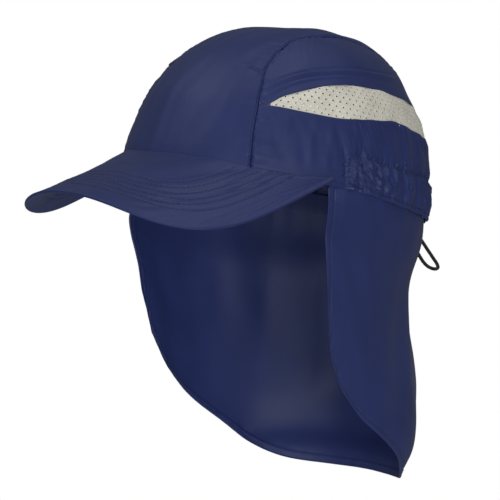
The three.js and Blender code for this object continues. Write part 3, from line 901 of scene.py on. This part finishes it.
def band_relief(angle, up, around, above):
    """Relief of the side and back band. around is mm from the back's middle, above is mm over
    the hem."""
    turn = np.degrees(rounded(angle))
    hem, crease, foot = (height_at(name, angle) for name in ("hem", "casing", "meshFoot"))
    relief = gather_height(angle, up)
    relief += casing_relief(turn, (up - hem) / (crease - hem), around, above)
    # Gathers that run down from the mesh's seam
    below_mesh = (foot - up) * MM_PER_HEIGHT
    gathers = round_hills(waves(around, above, 24, 5, 60)) * smoothstep(below_mesh, 0, 3)
    relief += smoothstep(turn, 66, 80) * 0.75 * gathers * np.exp(-below_mesh / 7)
    # The plain part: slow waves, soft folds and the pressed hem
    plain = (1 - smoothstep(turn, *GATHERS_COME_IN)) * 0.22 * waves(around, above, 25, 19, 70)
    relief += plain * smoothstep(above, 4, 16) * smoothstep(below_mesh, 0, 10)
    for place, width, height in BAND_FOLDS:
        across = (turn - place) * MM_PER_DEGREE + 0.7 * np.sin(above / 6 + place)
        fold = height * bump(across, width) * smoothstep(above, 5, 14)
        relief += fold * smoothstep(below_mesh, -2, 9)
    pressed = 0.22 * (1 - smoothstep(above, 3.0, 3.5)) - 0.18 * bump(above - 3.4, 0.45)
    return relief + (1 - smoothstep(turn, 68, 75)) * pressed


def band_points():
    across, along = lines(700, (2, 2), 0.12), lines(60, (0, 0), 0.6)
    u, v, turned = grid_of(across, along)
    first = math.radians(SIDE_HEIGHTS["angle"][0])
    hand = np.where(u <= 0.5, 1, -1)
    t = 1 - np.abs(1 - 2 * u)

    def up_at(angle):
        return lerp(height_at("hem", angle), height_at("meshFoot", angle), v)

    rough = lerp(first, math.pi, t)
    front = np.radians(follow(CENTRE_SEAM, "angle", seam_way_at(up_at(rough))))
    angle = lerp(front, math.pi, t)
    x, y = on_map(angle, up_at(angle))
    x = hand * x
    form, normal = crown_form(x, y), crown_normal(x, y)
    from_left, from_right, above, below_mesh = from_edges(form)
    near = np.minimum(from_left, from_right)
    angle, up = from_map(x, y)
    relief = band_relief(angle, up, (from_left - from_right) / 2, above)
    relief += np.where(near < 12, seam_relief(near, above, 14), 0)
    relief -= turned_edge(near, SEAM_ROUNDING) + turned * TURNED_IN
    relief -= turned_edge(below_mesh, 0.5) + turned_edge(above, 0.35)
    return form + normal * relief[..., None]


def peak_top(x, y):
    front = as_worn(0, -HEAD_HALF_LENGTH, PEAK_SEAT_RISE)
    end = crown_form(*on_map(PEAK_END_ANGLE, 0)) + as_worn(0, 0, PEAK_END_RISE)

    def ahead(spot):
        return (front[1] - spot) / PEAK_REACH

    def middle(spot):
        lift = PEAK_TIP_LIFT * ahead(spot) * np.abs(ahead(spot))
        return front[2] + PEAK_SLOPE * (spot - front[1]) + lift

    drop = middle(end[1]) - end[2] + PEAK_TIP_DROOP * (ahead(y) - ahead(end[1]))
    return middle(y) - drop * (np.abs(x) / end[0]) ** PEAK_ARCH_POWER


def peak_outline(count=6000):
    """The peak's outer edge in plan, evenly along it, as a function of u."""
    end = crown_form(*on_map(PEAK_END_ANGLE, 0))
    half_width = end[0] + PEAK_CLEARANCE + PEAK_END_WIDTH
    reach = PEAK_REACH + HEAD_HALF_LENGTH + end[1]
    turn = np.linspace(-np.pi / 2, np.pi / 2, count)
    power = 2 / PEAK_OUTLINE_POWER
    x = half_width * np.sign(turn) * np.abs(np.sin(turn)) ** power
    y = end[1] - reach * np.maximum(np.cos(turn), 0) ** power
    way = np.r_[0, np.cumsum(np.hypot(np.diff(x), np.diff(y)))]
    return lambda u: (np.interp(u * way[-1], way, x), np.interp(u * way[-1], way, y))


def peak_faces(u, v):
    """The peak's top face, its bottom face and the top's outward direction."""
    angle = lerp(-PEAK_END_ANGLE, PEAK_END_ANGLE, u)
    spot = on_map(angle, np.zeros_like(u))
    out = crown_normal(*spot)
    out[..., 2] = 0
    inner = crown_form(*spot) + unit(out) * PEAK_SEAM_GAP
    outer_x, outer_y = peak_outline()(u)
    x, y = lerp(inner[..., 0], outer_x, v), lerp(inner[..., 1], outer_y, v)
    step = 0.3
    slope_x = (peak_top(x + step, y) - peak_top(x - step, y)) / (2 * step)
    slope_y = (peak_top(x, y + step) - peak_top(x, y - step)) / (2 * step)
    normal = unit(np.stack([-slope_x, -slope_y, np.ones_like(x)], -1))
    top = np.stack([x, y, peak_top(x, y)], -1)
    down = as_worn(0, 0, -1.0)
    thick = lerp(PEAK_THICKNESS, PEAK_RIM_THICKNESS, v)
    drop = -down * (thick / (normal @ down))[..., None]
    bottom = top + lerp(drop, -normal * thick[..., None], v[..., None])
    return top, bottom, normal


# The peak's rows of stitches, in mm from its rim, and the groove that each lies in
PEAK_ROWS = (13.0, 17.6, 22.2, 26.8, 31.6, 37.0)
GROOVE_WIDTH = 0.6
GROOVE_DEPTH = 0.36
PEAK_RIM_TURNS = (60, 30, 0, -30, -60)


def from_rim(points, rim):
    """Distance of each point from the peak's rim line."""
    flat = points.reshape(-1, 3)
    best = np.full(len(flat), 1e9)
    for some in np.array_split(rim, 24):
        gap = flat[:, None] - some[None]
        best = np.minimum(best, (gap * gap).sum(-1).min(1))
    return np.sqrt(best).reshape(points.shape[:-1])


def peak_row_paths(top, distance):
    """Where each stitch row runs over the grid of one face."""
    paths = []
    for row in PEAK_ROWS:
        path = []
        for column in range(top.shape[1]):
            here = distance[:, column]
            if here[0] > row + 0.5:
                k = int(np.argmax(here < row))
                share = (here[k - 1] - row) / (here[k - 1] - here[k])
                path.append(lerp(top[k - 1, column], top[k, column], share))
        paths.append(np.array(path))
    return paths


def peak_shape():
    """The covered peak as one loop of cloth over the top, round the rim and back underneath,
    and the paths of the stitch rows on both faces."""
    u = lines(320, (0, 0), 0.25)[0]
    v = np.linspace(0, 1, 121)
    v = v + 0.14 * np.sin(np.pi * v) ** 2 * (1 - v)
    uu, vv = np.meshgrid(u, v)
    top, bottom, normal = peak_faces(uu, vv)
    rim = np.stack(peak_faces(np.linspace(0, 1, 900)[None], np.ones((1, 900)))[0])[0]
    distance = from_rim(top, rim)
    around = lengths(top, 1)
    grooves = sum(bump(distance - row, GROOVE_WIDTH) for row in PEAK_ROWS)
    pillow = 0.16 * waves(around, distance, 31, 26, 30)
    relief = pillow - GROOVE_DEPTH * grooves + 0.1 * grooves * np.cos(2 * np.pi * around / 3)
    relief *= smoothstep(distance, 0.5, 4)
    top = top + normal * relief[..., None]
    bottom = bottom - normal * relief[..., None] * 0.7
    thick = np.linalg.norm(top[-1] - bottom[-1], axis=-1) / 2
    middle = (top[-1] + bottom[-1]) / 2
    outward = unit(np.cross(np.gradient(middle, axis=0), normal[-1]))
    outward *= np.where((outward[:, 1] > 0.6)[:, None], -1, 1)
    rim_rows = []
    for turn in np.radians(PEAK_RIM_TURNS):
        rise = unit(top[-1] - bottom[-1]) * (thick * math.sin(turn))[:, None]
        rim_rows.append(middle + rise + outward * (thick * math.cos(turn))[:, None] * 0.8)
    loop = np.concatenate([top, np.array(rim_rows), bottom[::-1]])
    return loop, peak_row_paths(top, distance), peak_row_paths(bottom, distance)


def flap_form(u, v, rise=0):
    """The flap at u round it and v down it. rise is how far its rows behind the band lie over
    the band's hem, as a share of the crown's height."""
    hand = np.where(u <= 0.5, 1, -1)
    around = 1 - np.abs(1 - 2 * u)
    angle = lerp(FLAP_START_ANGLE, math.pi, around)
    spot = on_map(angle, height_at("hem", angle) - 2 * GAP_SHARE + rise)
    puff = gather_height(angle, height_at("hem", angle), 0.2, 4 * PLEAT_LEAN)
    top = crown_form(*spot) + crown_normal(*spot) * (puff - FLAP_INSET)[..., None]
    bottom = -FLAP_DROP * follow(FLAP_EDGE, "level", around)
    z = lerp(top[..., 2], bottom, v)
    edge_turn = np.radians(follow(FLAP_EDGE, "angle", around))
    turn = lerp(FLAP_TOP_SECTION_ANGLE * (1 - around), edge_turn, v)
    level = -z / FLAP_DROP
    side = HEAD_HALF_WIDTH * follow(FLAP_SECTIONS, "side", level)
    middle = HEAD_HALF_LENGTH * follow(FLAP_SECTIONS, "middle", level)
    reach = HEAD_HALF_LENGTH * follow(FLAP_SECTIONS, "reach", level)
    settled = smoothstep(v, 0, FLAP_BLEND_SHARE)
    x = lerp(top[..., 0], side * np.sin(turn), settled)
    y = lerp(top[..., 1], middle + reach * np.cos(turn), settled)
    fold = 0
    for place, width, depth, first, last in FLAP_FOLDS:
        across = np.maximum(0, 1 - ((around - place) / width) ** 2)
        shown = span(v, first, first + 0.3, last - 0.35, last)
        fold = fold + depth * across * across * shown
    x = x + FLAP_FOLD_DEPTH * fold * np.sin(turn)
    y = y + FLAP_FOLD_DEPTH * fold * np.cos(turn)
    y = y - follow(FLAP_FRONT, "ahead", v) * bump(around, 0.2) * (rise == 0)
    return np.stack([hand * x, y, z], -1)


def grid_normals(points):
    return unit(np.cross(np.gradient(points, axis=1), np.gradient(points, axis=0)))


# The flap's hem, how far in from it its stitches run, and the share of the crown's height by
# which each of the flap's rows behind the band lies over the one before
HEM_WIDTH = 4.0
HEM_STITCH_INSET = 0.8
BEHIND_BAND_STEP = 0.03


def flap_points():
    """The flap's outer face, from its hem (row 0) up to where it runs on behind the band, with
    the distance from its free edge."""
    across, along = lines(380, (0, 0), 0.7), lines(112, (0, 3), 0.6)
    u, v, behind = grid_of(across, along)
    form = flap_form(u, 1 - v, behind * BEHIND_BAND_STEP)
    normal = grid_normals(form)
    from_left, from_right, from_hem, from_band = from_edges(form)
    edge = np.minimum(np.minimum(from_left, from_right), from_hem)
    along_edge = np.where(from_hem < np.minimum(from_left, from_right), from_left, from_hem)
    around = (from_left - from_right) / 2
    # Slow waves, the raised hem with the groove and puckers of its seam, and the gathers that
    # the band draws in
    relief = 0.3 * waves(around, from_band, 41, 60, 120) * smoothstep(from_band, 12, 40)
    relief += 0.3 * (1 - smoothstep(edge, HEM_WIDTH - 0.3, HEM_WIDTH + 0.2))
    relief -= 0.3 * bump(edge - HEM_WIDTH - 0.2, 0.6)
    relief += 0.10 * waves(along_edge, edge, 42, 8, 40) * bump(edge - HEM_WIDTH, 4)
    relief -= turned_edge(edge, 0.3)
    gathers = round_hills(waves(around, from_band, 43, 7, 60))
    relief += 0.12 * gathers * np.exp(-np.maximum(from_band - 10, 0) / 8)
    points = form + normal * relief[..., None]
    return points, normal, edge


def edge_line(points, normal, distance, target):
    """Path over the grid at a set distance in from the left, bottom and right edges, with its
    outward direction."""
    left, up = lengths(points, 1), lengths(points, 0)
    right = left[:, -1:] - left
    rows, columns = points.shape[:2]
    spots = []
    for row in range(rows - 5, -1, -1):
        spots.append((row, int(np.argmax(left[row] > target))))
    spots = [spot for spot in spots if up[spot] > target]
    for column in range(columns):
        row = int(np.argmax(up[:, column] > target))
        if distance[row, column] > target * 0.98:
            spots.append((row, column))
    for row in range(rows - 4):
        column = columns - 1 - int(np.argmax(right[row, ::-1] > target))
        if up[row, column] > target:
            spots.append((row, column))
    row, column = np.transpose(spots)
    return points[row, column], normal[row, column]


# The vent's lattice: its cells, and how far it runs on under the panels at its edges, in mm,
# and past its tips, in radians. Rows are counted from MESH_FOOT, a share of the height.
MESH_COLUMN_PITCH = 2.35
MESH_ROW_PITCH = 3.0
MESH_ROWS = range(-1, 11)
MESH_MARGIN = 1.8
MESH_OVERRUN = 0.04
MESH_FOOT = 0.235
MESH_THICKNESS = 0.45
# Rings of points round an eye, each with its width in eyes and its height over the mesh, which
# give the eye a raised, rolled lip. An eye is slightly taller than wide.
EYE_RINGS = ((1.75, 0.10), (1.2, 0.16), (1.0, -0.12))
EYE_HALF_HEIGHT = 0.58


def vent_mesh(eye, column_pitch, row_pitch):
    """The vent's vertices, faces and UVs: a lattice of cells in which every second one, as on a
    chessboard, is pierced with a round eye, apart from the narrow tips."""
    first = MESH_START_ANGLE - MESH_OVERRUN
    angles = np.linspace(first, 2 * math.pi - first, 1500)
    middle = (height_at("meshFoot", angles) + height_at("meshTop", angles)) / 2
    way = lengths(crown_form(*on_map(angles, middle)), 0)
    way = way - way[-1] / 2
    columns = int(way[-1] / column_pitch) * 2
    # The share of the height for 1 mm up, where the vent is widest
    step = crown_form(*on_map(1.9, 0.35)) - crown_form(*on_map(1.9, 0.34))
    scale = 0.01 / np.linalg.norm(step)
    margin = MESH_MARGIN * scale

    def edges_at(angle):
        return height_at("meshFoot", angle) - margin, height_at("meshTop", angle) + margin

    def spot(along, above):
        """Point for mm along the vent and mm above the line that rows are counted from."""
        angle = np.interp(along, way, angles)
        low, high = edges_at(angle)
        up = np.clip(MESH_FOOT + above * scale, low, np.maximum(high, low))
        x, y = on_map(angle, up)
        sag = 0.5 + 0.4 * bump((up - low) / scale, 2.5) + 0.4 * bump((high - up) / scale, 2.5)
        puff = 0.25 * waves(along, above, 51, 30, 30)
        return crown_form(x, y) + crown_normal(x, y) * (puff - sag)[..., None]

    octagon = [(-1, -1), (0, -1), (1, -1), (1, 0), (1, 1), (0, 1), (-1, 1), (-1, 0)]
    turns = [math.atan2(b, a) for a, b in octagon]
    flat, faces, lips = [], [], []
    known = {}

    def number(along, above, lip=0.0):
        key = (round(along, 3), round(above, 3))
        if key not in known:
            known[key] = len(flat)
            flat.append((along, above))
            lips.append(lip)
        return known[key]

    start = -columns / 2 * column_pitch
    for i in range(columns):
        along = start + (i + 0.5) * column_pitch
        if not way[0] < along - column_pitch / 2 < along + column_pitch / 2 < way[-1]:
            continue
        edges = edges_at(np.interp(along, way, angles))
        low, high = ((edge - MESH_FOOT) / scale for edge in edges)
        for j in MESH_ROWS:
            above = (j + 0.5) * row_pitch
            if above + row_pitch / 2 < low or above - row_pitch / 2 > high:
                continue
            rim = [
                number(along + a * column_pitch / 2, above + b * row_pitch / 2)
                for a, b in octagon
            ]
            if (i + j) % 2 or high - low < 2 * row_pitch:
                centre = number(along, above)
                faces += [(rim[k], rim[(k + 1) % 8], centre) for k in range(8)]
                continue
            rings = [rim]
            for size, lip in EYE_RINGS:
                wide, tall = size * eye / 2, size * eye * EYE_HALF_HEIGHT
                rings.append([
                    number(along + wide * math.cos(t), above + tall * math.sin(t), lip)
                    for t in turns
                ])
            for outer, inner in zip(rings, rings[1:]):
                faces += [
                    (outer[k], outer[(k + 1) % 8], inner[(k + 1) % 8], inner[k]) for k in range(8)
                ]
    flat = np.array(flat)
    points = spot(flat[:, 0], flat[:, 1])
    ahead = spot(flat[:, 0] + 0.2, flat[:, 1])
    out = unit(np.cross(ahead - points, crown_form(0, 0) - points))
    points = points + out * np.array(lips)[:, None]
    return points, faces, flat


# What a user would change


LENGTH = {"subtype": "DISTANCE", "unit": "LENGTH", "precision": 5}


class CapSizes(bpy.types.PropertyGroup):
    """Sizes of the cap's cloths, threads and pierced mesh"""

    cloth: bpy.props.FloatProperty(
        name="Cloth thickness", description="Crown, band and flap cloth",
        default=0.0006, **LENGTH,
    )
    stitch: bpy.props.FloatProperty(
        name="Stitch length", description="Length of one sewing stitch", default=0.003, **LENGTH
    )
    thread: bpy.props.FloatProperty(
        name="Thread", description="Diameter of the sewing thread", default=0.00034, **LENGTH
    )
    weave_pitch: bpy.props.FloatProperty(
        name="Weave pitch",
        description="Spacing of the drawn threads, coarser than the real 0.15 mm to show",
        default=0.0004, **LENGTH,
    )
    knit_pitch: bpy.props.FloatProperty(
        name="Knit pitch", description="Spacing of the mesh's columns of loops",
        default=0.0008, **LENGTH,
    )
    eye: bpy.props.FloatProperty(
        name="Mesh eye", description="Width of one pierced eye of the mesh",
        default=0.00105, **LENGTH,
    )
    cord: bpy.props.FloatProperty(
        name="Cord", description="Diameter of the elastic cord", default=0.0023, **LENGTH
    )
    braid_pitch: bpy.props.FloatProperty(
        name="Braid pitch", description="Spacing of the cord's plaited strands",
        default=0.0006, **LENGTH,
    )


class CapColours(bpy.types.PropertyGroup):
    """Colours of the cap's cloths and cord, as sRGB hex values"""

    cloth_dark: bpy.props.StringProperty(
        name="Cloth, darker", description="Darker shade of the navy cloth", default="#1D2857"
    )
    cloth_light: bpy.props.StringProperty(
        name="Cloth, lighter", description="Lighter shade of the navy cloth", default="#222F62"
    )
    # The mesh's ramp: painted shade between its loops, and its pale colour with a painted
    # highlight on the loops' faces
    mesh_painted_shade: bpy.props.StringProperty(
        name="Mesh, darker", description="Between the mesh's loops", default="#918D7E"
    )
    mesh_pale_and_highlight: bpy.props.StringProperty(
        name="Mesh, lighter", description="Face of the mesh's loops", default="#E8E6D9"
    )
    # Painted shade in the grooves between the cord's strands
    cord_painted_shade: bpy.props.StringProperty(
        name="Cord, darker", description="Between the cord's plaited strands", default="#08080A"
    )
    cord: bpy.props.StringProperty(
        name="Cord", description="Black of the elastic cord", default="#17171A"
    )
    thread: bpy.props.StringProperty(
        name="Thread", description="Sewing thread", default="#151B40"
    )
    floor: bpy.props.StringProperty(
        name="Floor", description="Floor of the set", default="#F0F0F0"
    )


# The picture: its size and its pixel at the head's middle, the pixels of that middle and of its
# own, and the camera's degrees round and up
PICTURE_SIZE = 500
PIXEL = 0.595 * MM
ORIGIN_PIXEL = (276, 185)
PICTURE_MIDDLE = (250, 250)
CAMERA_AZIMUTH = 45
CAMERA_ELEVATION = 5
CAMERA_DISTANCE = 1.653
# Soft lights: degrees round and up, distance, size and power
LIGHTS = {
    "front": (60, 0, 2.0, 0.8, 16.8),
    "left": (30, -2, 2.0, 0.8, 9.0),
    "top": (-36, 55, 1.5, 0.7, 6.0),
    "right": (112, 72, 1.5, 0.7, 6.0),
}
# The studio's strength as light, and as the white that the camera sees behind the cap
STUDIO_LIGHT = 0.16
STUDIO_WHITE = 1.0
FLOOR_RADIUS = 0.56
FLOOR_HEIGHT = -0.32
# A little light of its own keeps the floor as pale as the studio behind it
FLOOR_GLOW = 0.3


def direction(azimuth, elevation):
    """The way from the cap to what stands at these degrees round it and up."""
    a, e = math.radians(azimuth), math.radians(elevation)
    return Vector((math.sin(a) * math.cos(e), -math.cos(a) * math.cos(e), math.sin(e)))


class CAP_OT_stage(bpy.types.Operator):
    """Set the camera, the soft studio lights and the pale floor"""

    bl_idname = "cap.stage"
    bl_label = "Stage"

    def execute(self, context):
        back = direction(CAMERA_AZIMUTH, CAMERA_ELEVATION)
        right = direction(CAMERA_AZIMUTH + 90, 0)
        aim = right * (PICTURE_MIDDLE[0] - ORIGIN_PIXEL[0]) * PIXEL
        aim += back.cross(right) * (ORIGIN_PIXEL[1] - PICTURE_MIDDLE[1]) * PIXEL
        data = bpy.data.cameras.new("camera")
        data.sensor_width = 36
        data.lens = data.sensor_width * CAMERA_DISTANCE / (PICTURE_SIZE * PIXEL)
        camera = bpy.data.objects.new("camera", data)
        camera.location = back * CAMERA_DISTANCE
        camera.rotation_euler = (camera.location - aim).to_track_quat("Z", "Y").to_euler()
        context.scene.collection.objects.link(camera)
        context.scene.camera = camera

        context.scene.view_settings.view_transform = "Standard"
        world = bpy.data.worlds.new("studio")
        world.use_nodes = True
        tree = world.node_tree
        tree.nodes.clear()
        seen = add_node(tree, "ShaderNodeLightPath").outputs["Is Camera Ray"]
        strength = add_node(
            tree, "ShaderNodeMapRange", Value=seen, To_Min=STUDIO_LIGHT, To_Max=STUDIO_WHITE
        )
        background = add_node(
            tree, "ShaderNodeBackground", Color=(1, 1, 1, 1), Strength=strength.outputs["Result"]
        )
        out = add_node(tree, "ShaderNodeOutputWorld")
        tree.links.new(background.outputs["Background"], out.inputs["Surface"])
        context.scene.world = world
        for name, (azimuth, elevation, distance, size, power) in LIGHTS.items():
            light = bpy.data.lights.new(name, "AREA")
            light.size = size
            light.energy = power
            lamp = bpy.data.objects.new(name, light)
            way = direction(azimuth, elevation)
            lamp.location = way * distance
            lamp.rotation_euler = way.to_track_quat("Z", "Y").to_euler()
            context.scene.collection.objects.link(lamp)

        bpy.ops.object.select_all(action="DESELECT")
        bpy.ops.mesh.primitive_circle_add(
            vertices=96, radius=FLOOR_RADIUS, fill_type="NGON", location=(0, 0, FLOOR_HEIGHT)
        )
        floor = context.object
        floor.name = "floor"
        floor.visible_glossy = False
        material, tree, surface = new_material("pale_matt_floor")
        place = add_node(tree, "ShaderNodeTexCoord").outputs["Object"]
        grain = add_node(tree, "ShaderNodeTexNoise", Vector=place, Scale=40.0).outputs["Fac"]
        rough = add_node(tree, "ShaderNodeMapRange", Value=grain, To_Min=0.85, To_Max=0.95)
        shader = add_node(
            tree, "ShaderNodeBsdfPrincipled",
            Base_Color=(*linear(context.scene.cap_colours.floor), 1),
            Roughness=rough.outputs["Result"], Specular_IOR_Level=0.1,
            Emission_Color=(1, 1, 1, 1), Emission_Strength=FLOOR_GLOW,
        )
        tree.links.new(shader.outputs["BSDF"], surface)
        floor.data.materials.append(material)
        return {"FINISHED"}


# The cord's tube: points round it, its share of the full radius, and its plait's relief, with
# strands round it and radians a mm along it
CORD_SIDES = 14
CORD_GIRTH = 0.97
PLAIT_RELIEF = 0.03
PLAIT_STRANDS = 6
PLAIT_TWIST = 2.4


class CAP_OT_cord(bpy.types.Operator):
    """Make the elastic cord's loop under the casing"""

    bl_idname = "cap.cord"
    bl_label = "Cord loop"

    def execute(self, context):
        sizes = context.scene.cap_sizes
        route = np.array(CORD_ROUTE, float)
        keys = np.arange(len(route))
        rows = {"at": keys, **{k: route[:, i] for i, k in enumerate("xyz")}}
        fine = np.linspace(0, len(route) - 1, 241)
        path = np.stack([follow(rows, k, fine) for k in "xyz"], -1)
        way = lengths(path, 0)
        sides, radius = CORD_SIDES, sizes.cord / MM / 2
        ahead = unit(np.gradient(path, axis=0))
        side = unit(np.cross(ahead[0], (0, 0, 1)))
        vertices, uv = [], []
        for point, forward, gone in zip(path, ahead, way):
            side = unit(side - forward * (side @ forward))
            rise = np.cross(forward, side)
            for k in range(sides):
                turn = 2 * math.pi * k / sides
                plait = 1 + sum(
                    PLAIT_RELIEF * math.cos(PLAIT_STRANDS * turn + lay * PLAIT_TWIST * gone)
                    for lay in (1, -1)
                )
                spoke = math.cos(turn) * side + math.sin(turn) * rise
                vertices.append(point + radius * plait * CORD_GIRTH * spoke)
                uv.append((turn * radius, gone))
        faces = []
        for i in range(len(path) - 1):
            for k in range(sides):
                a, b = i * sides + k, i * sides + (k + 1) % sides
                faces.append((a, b, b + sides, a + sides))
        faces += [list(range(sides))[::-1], [len(vertices) - sides + k for k in range(sides)]]
        cord = make_mesh("elastic_cord", vertices, faces, uv)
        select_only(cord)
        bpy.ops.object.shade_smooth()
        dress(cord, material_for("cord"), "black_elastic", "cord_loop")
        return {"FINISHED"}


class CAP_OT_crown(bpy.types.Operator):
    """Sew the centre panel and the two side panels"""

    bl_idname = "cap.crown"
    bl_label = "Crown panels"

    def execute(self, context):
        cloth = context.scene.cap_sizes.cloth / MM
        for name, node, points in (
            ("centre_panel_cloth", "centre_panel", centre_points()),
            ("side_panel_left_cloth", "side_panel_left", side_points(1)),
            ("side_panel_right_cloth", "side_panel_right", side_points(-1)),
        ):
            sheet = lay_grid(name, points)
            thicken(sheet, cloth)
            dress(sheet, material_for("navy"), "navy_cloth", node)
        return {"FINISHED"}


# How far over the hem the band's stitches run, in mm
BAND_STITCH_HEIGHT = 3.2


class CAP_OT_band(bpy.types.Operator):
    """Make the side and back band with its gathered casing and its hem stitches"""

    bl_idname = "cap.band"
    bl_label = "Band and casing"

    def execute(self, context):
        sizes = context.scene.cap_sizes
        points = band_points()
        sheet = lay_grid("back_band_cloth", points)
        thicken(sheet, sizes.cloth / MM)
        dress(sheet, material_for("navy"), "navy_cloth", "back_band")
        columns = np.arange(6, points.shape[1] - 6, 2)
        rows = np.argmax(lengths(points, 0)[:, columns] > BAND_STITCH_HEIGHT, axis=0)
        run = points[rows, columns], grid_normals(points)[rows, columns]
        thread = stitches("band_stitches", [run], sizes.stitch / MM, sizes.thread / MM)
        dress(thread, material_for("thread"), "navy_cloth")
        return {"FINISHED"}


class CAP_OT_vent(bpy.types.Operator):
    """Pierce the pale mesh vent and set it under the panels' edges"""

    bl_idname = "cap.vent"
    bl_label = "Mesh vent"

    def execute(self, context):
        sizes = context.scene.cap_sizes
        points, faces, flat = vent_mesh(sizes.eye / MM, MESH_COLUMN_PITCH, MESH_ROW_PITCH)
        vent = make_mesh("mesh_vent", points, faces, flat)
        select_only(vent)
        bpy.ops.object.mode_set(mode="EDIT")
        bpy.ops.mesh.select_all(action="SELECT")
        bpy.ops.mesh.remove_doubles(threshold=0.00004)
        bpy.ops.mesh.dissolve_degenerate(threshold=0.00002)
        bpy.ops.mesh.normals_make_consistent(inside=False)
        bpy.ops.object.mode_set(mode="OBJECT")
        thicken(vent, MESH_THICKNESS)
        dress(vent, material_for("mesh"), "pale_mesh", "mesh_panel")
        return {"FINISHED"}


# Out of the peak's top and bottom, for its stitches
PEAK_UP = np.array((0, -0.25, 0.97))
PEAK_DOWN = -PEAK_UP


class CAP_OT_peak(bpy.types.Operator):
    """Cover the curved peak and sew its rows of stitches"""

    bl_idname = "cap.peak"
    bl_label = "Peak"

    def execute(self, context):
        sizes = context.scene.cap_sizes
        loop, top_rows, under_rows = peak_shape()
        cover = lay_grid("peak_cover", loop)
        select_only(cover)
        bpy.ops.object.mode_set(mode="EDIT")
        bpy.ops.mesh.select_all(action="DESELECT")
        bpy.ops.mesh.select_mode(type="EDGE")
        bpy.ops.mesh.select_non_manifold(extend=False)
        bpy.ops.mesh.fill(use_beauty=False)
        bpy.ops.mesh.select_all(action="SELECT")
        bpy.ops.mesh.normals_make_consistent(inside=False)
        bpy.ops.mesh.select_mode(type="VERT")
        bpy.ops.object.mode_set(mode="OBJECT")
        bpy.ops.object.shade_smooth_by_angle(angle=SHARP_ANGLE)
        dress(cover, material_for("navy"), "navy_cloth", "peak")
        runs = [
            (path, np.broadcast_to(outward, path.shape))
            for rows, outward in ((top_rows, PEAK_UP), (under_rows, PEAK_DOWN))
            for path in rows if len(path) > 8
        ]
        thread = stitches("peak_stitches", runs, sizes.stitch / MM, sizes.thread / MM)
        dress(thread, material_for("thread"), "navy_cloth")
        return {"FINISHED"}


class CAP_OT_flap(bpy.types.Operator):
    """Hang the neck flap and sew its hem"""

    bl_idname = "cap.flap"
    bl_label = "Neck flap"

    def execute(self, context):
        sizes = context.scene.cap_sizes
        points, normal, edge = flap_points()
        sheet = lay_grid("neck_flap_cloth", points)
        hem = 1 - smoothstep(edge, HEM_WIDTH - 0.2, HEM_WIDTH + 0.6)
        thicken(sheet, sizes.cloth / MM, hem)
        dress(sheet, material_for("navy"), "navy_cloth", "neck_flap")
        path, outward = edge_line(points, normal, edge, HEM_WIDTH - HEM_STITCH_INSET)
        runs = [(path, outward), (path - outward * 2 * sizes.cloth / MM, -outward)]
        thread = stitches("flap_stitches", runs, sizes.stitch / MM, sizes.thread / MM)
        dress(thread, material_for("thread"), "navy_cloth")
        return {"FINISHED"}


class CAP_PT_panel(bpy.types.Panel):
    """The cap's pieces in order"""

    bl_idname = "CAP_PT_panel"
    bl_label = "Sun Cap"
    bl_space_type = "VIEW_3D"
    bl_region_type = "UI"
    bl_category = "Sun Cap"

    def draw(self, context):
        for group in (context.scene.cap_sizes, context.scene.cap_colours):
            for name in group.__annotations__:
                self.layout.prop(group, name)
        for operator in OPERATORS:
            self.layout.operator(operator.bl_idname)


OPERATORS = (
    CAP_OT_stage, CAP_OT_cord, CAP_OT_band, CAP_OT_crown, CAP_OT_vent, CAP_OT_peak, CAP_OT_flap,
)
CLASSES = (CapSizes, CapColours, *OPERATORS, CAP_PT_panel)


def register():
    for each in CLASSES:
        bpy.utils.register_class(each)
    bpy.types.Scene.cap_sizes = bpy.props.PointerProperty(type=CapSizes)
    bpy.types.Scene.cap_colours = bpy.props.PointerProperty(type=CapColours)


def unregister():
    del bpy.types.Scene.cap_colours
    del bpy.types.Scene.cap_sizes
    for each in reversed(CLASSES):
        bpy.utils.unregister_class(each)


def main():
    register()
    for operator in OPERATORS:
        group, name = operator.bl_idname.split(".")
        getattr(getattr(bpy.ops, group), name)()


if __name__ == "__main__":
    main()
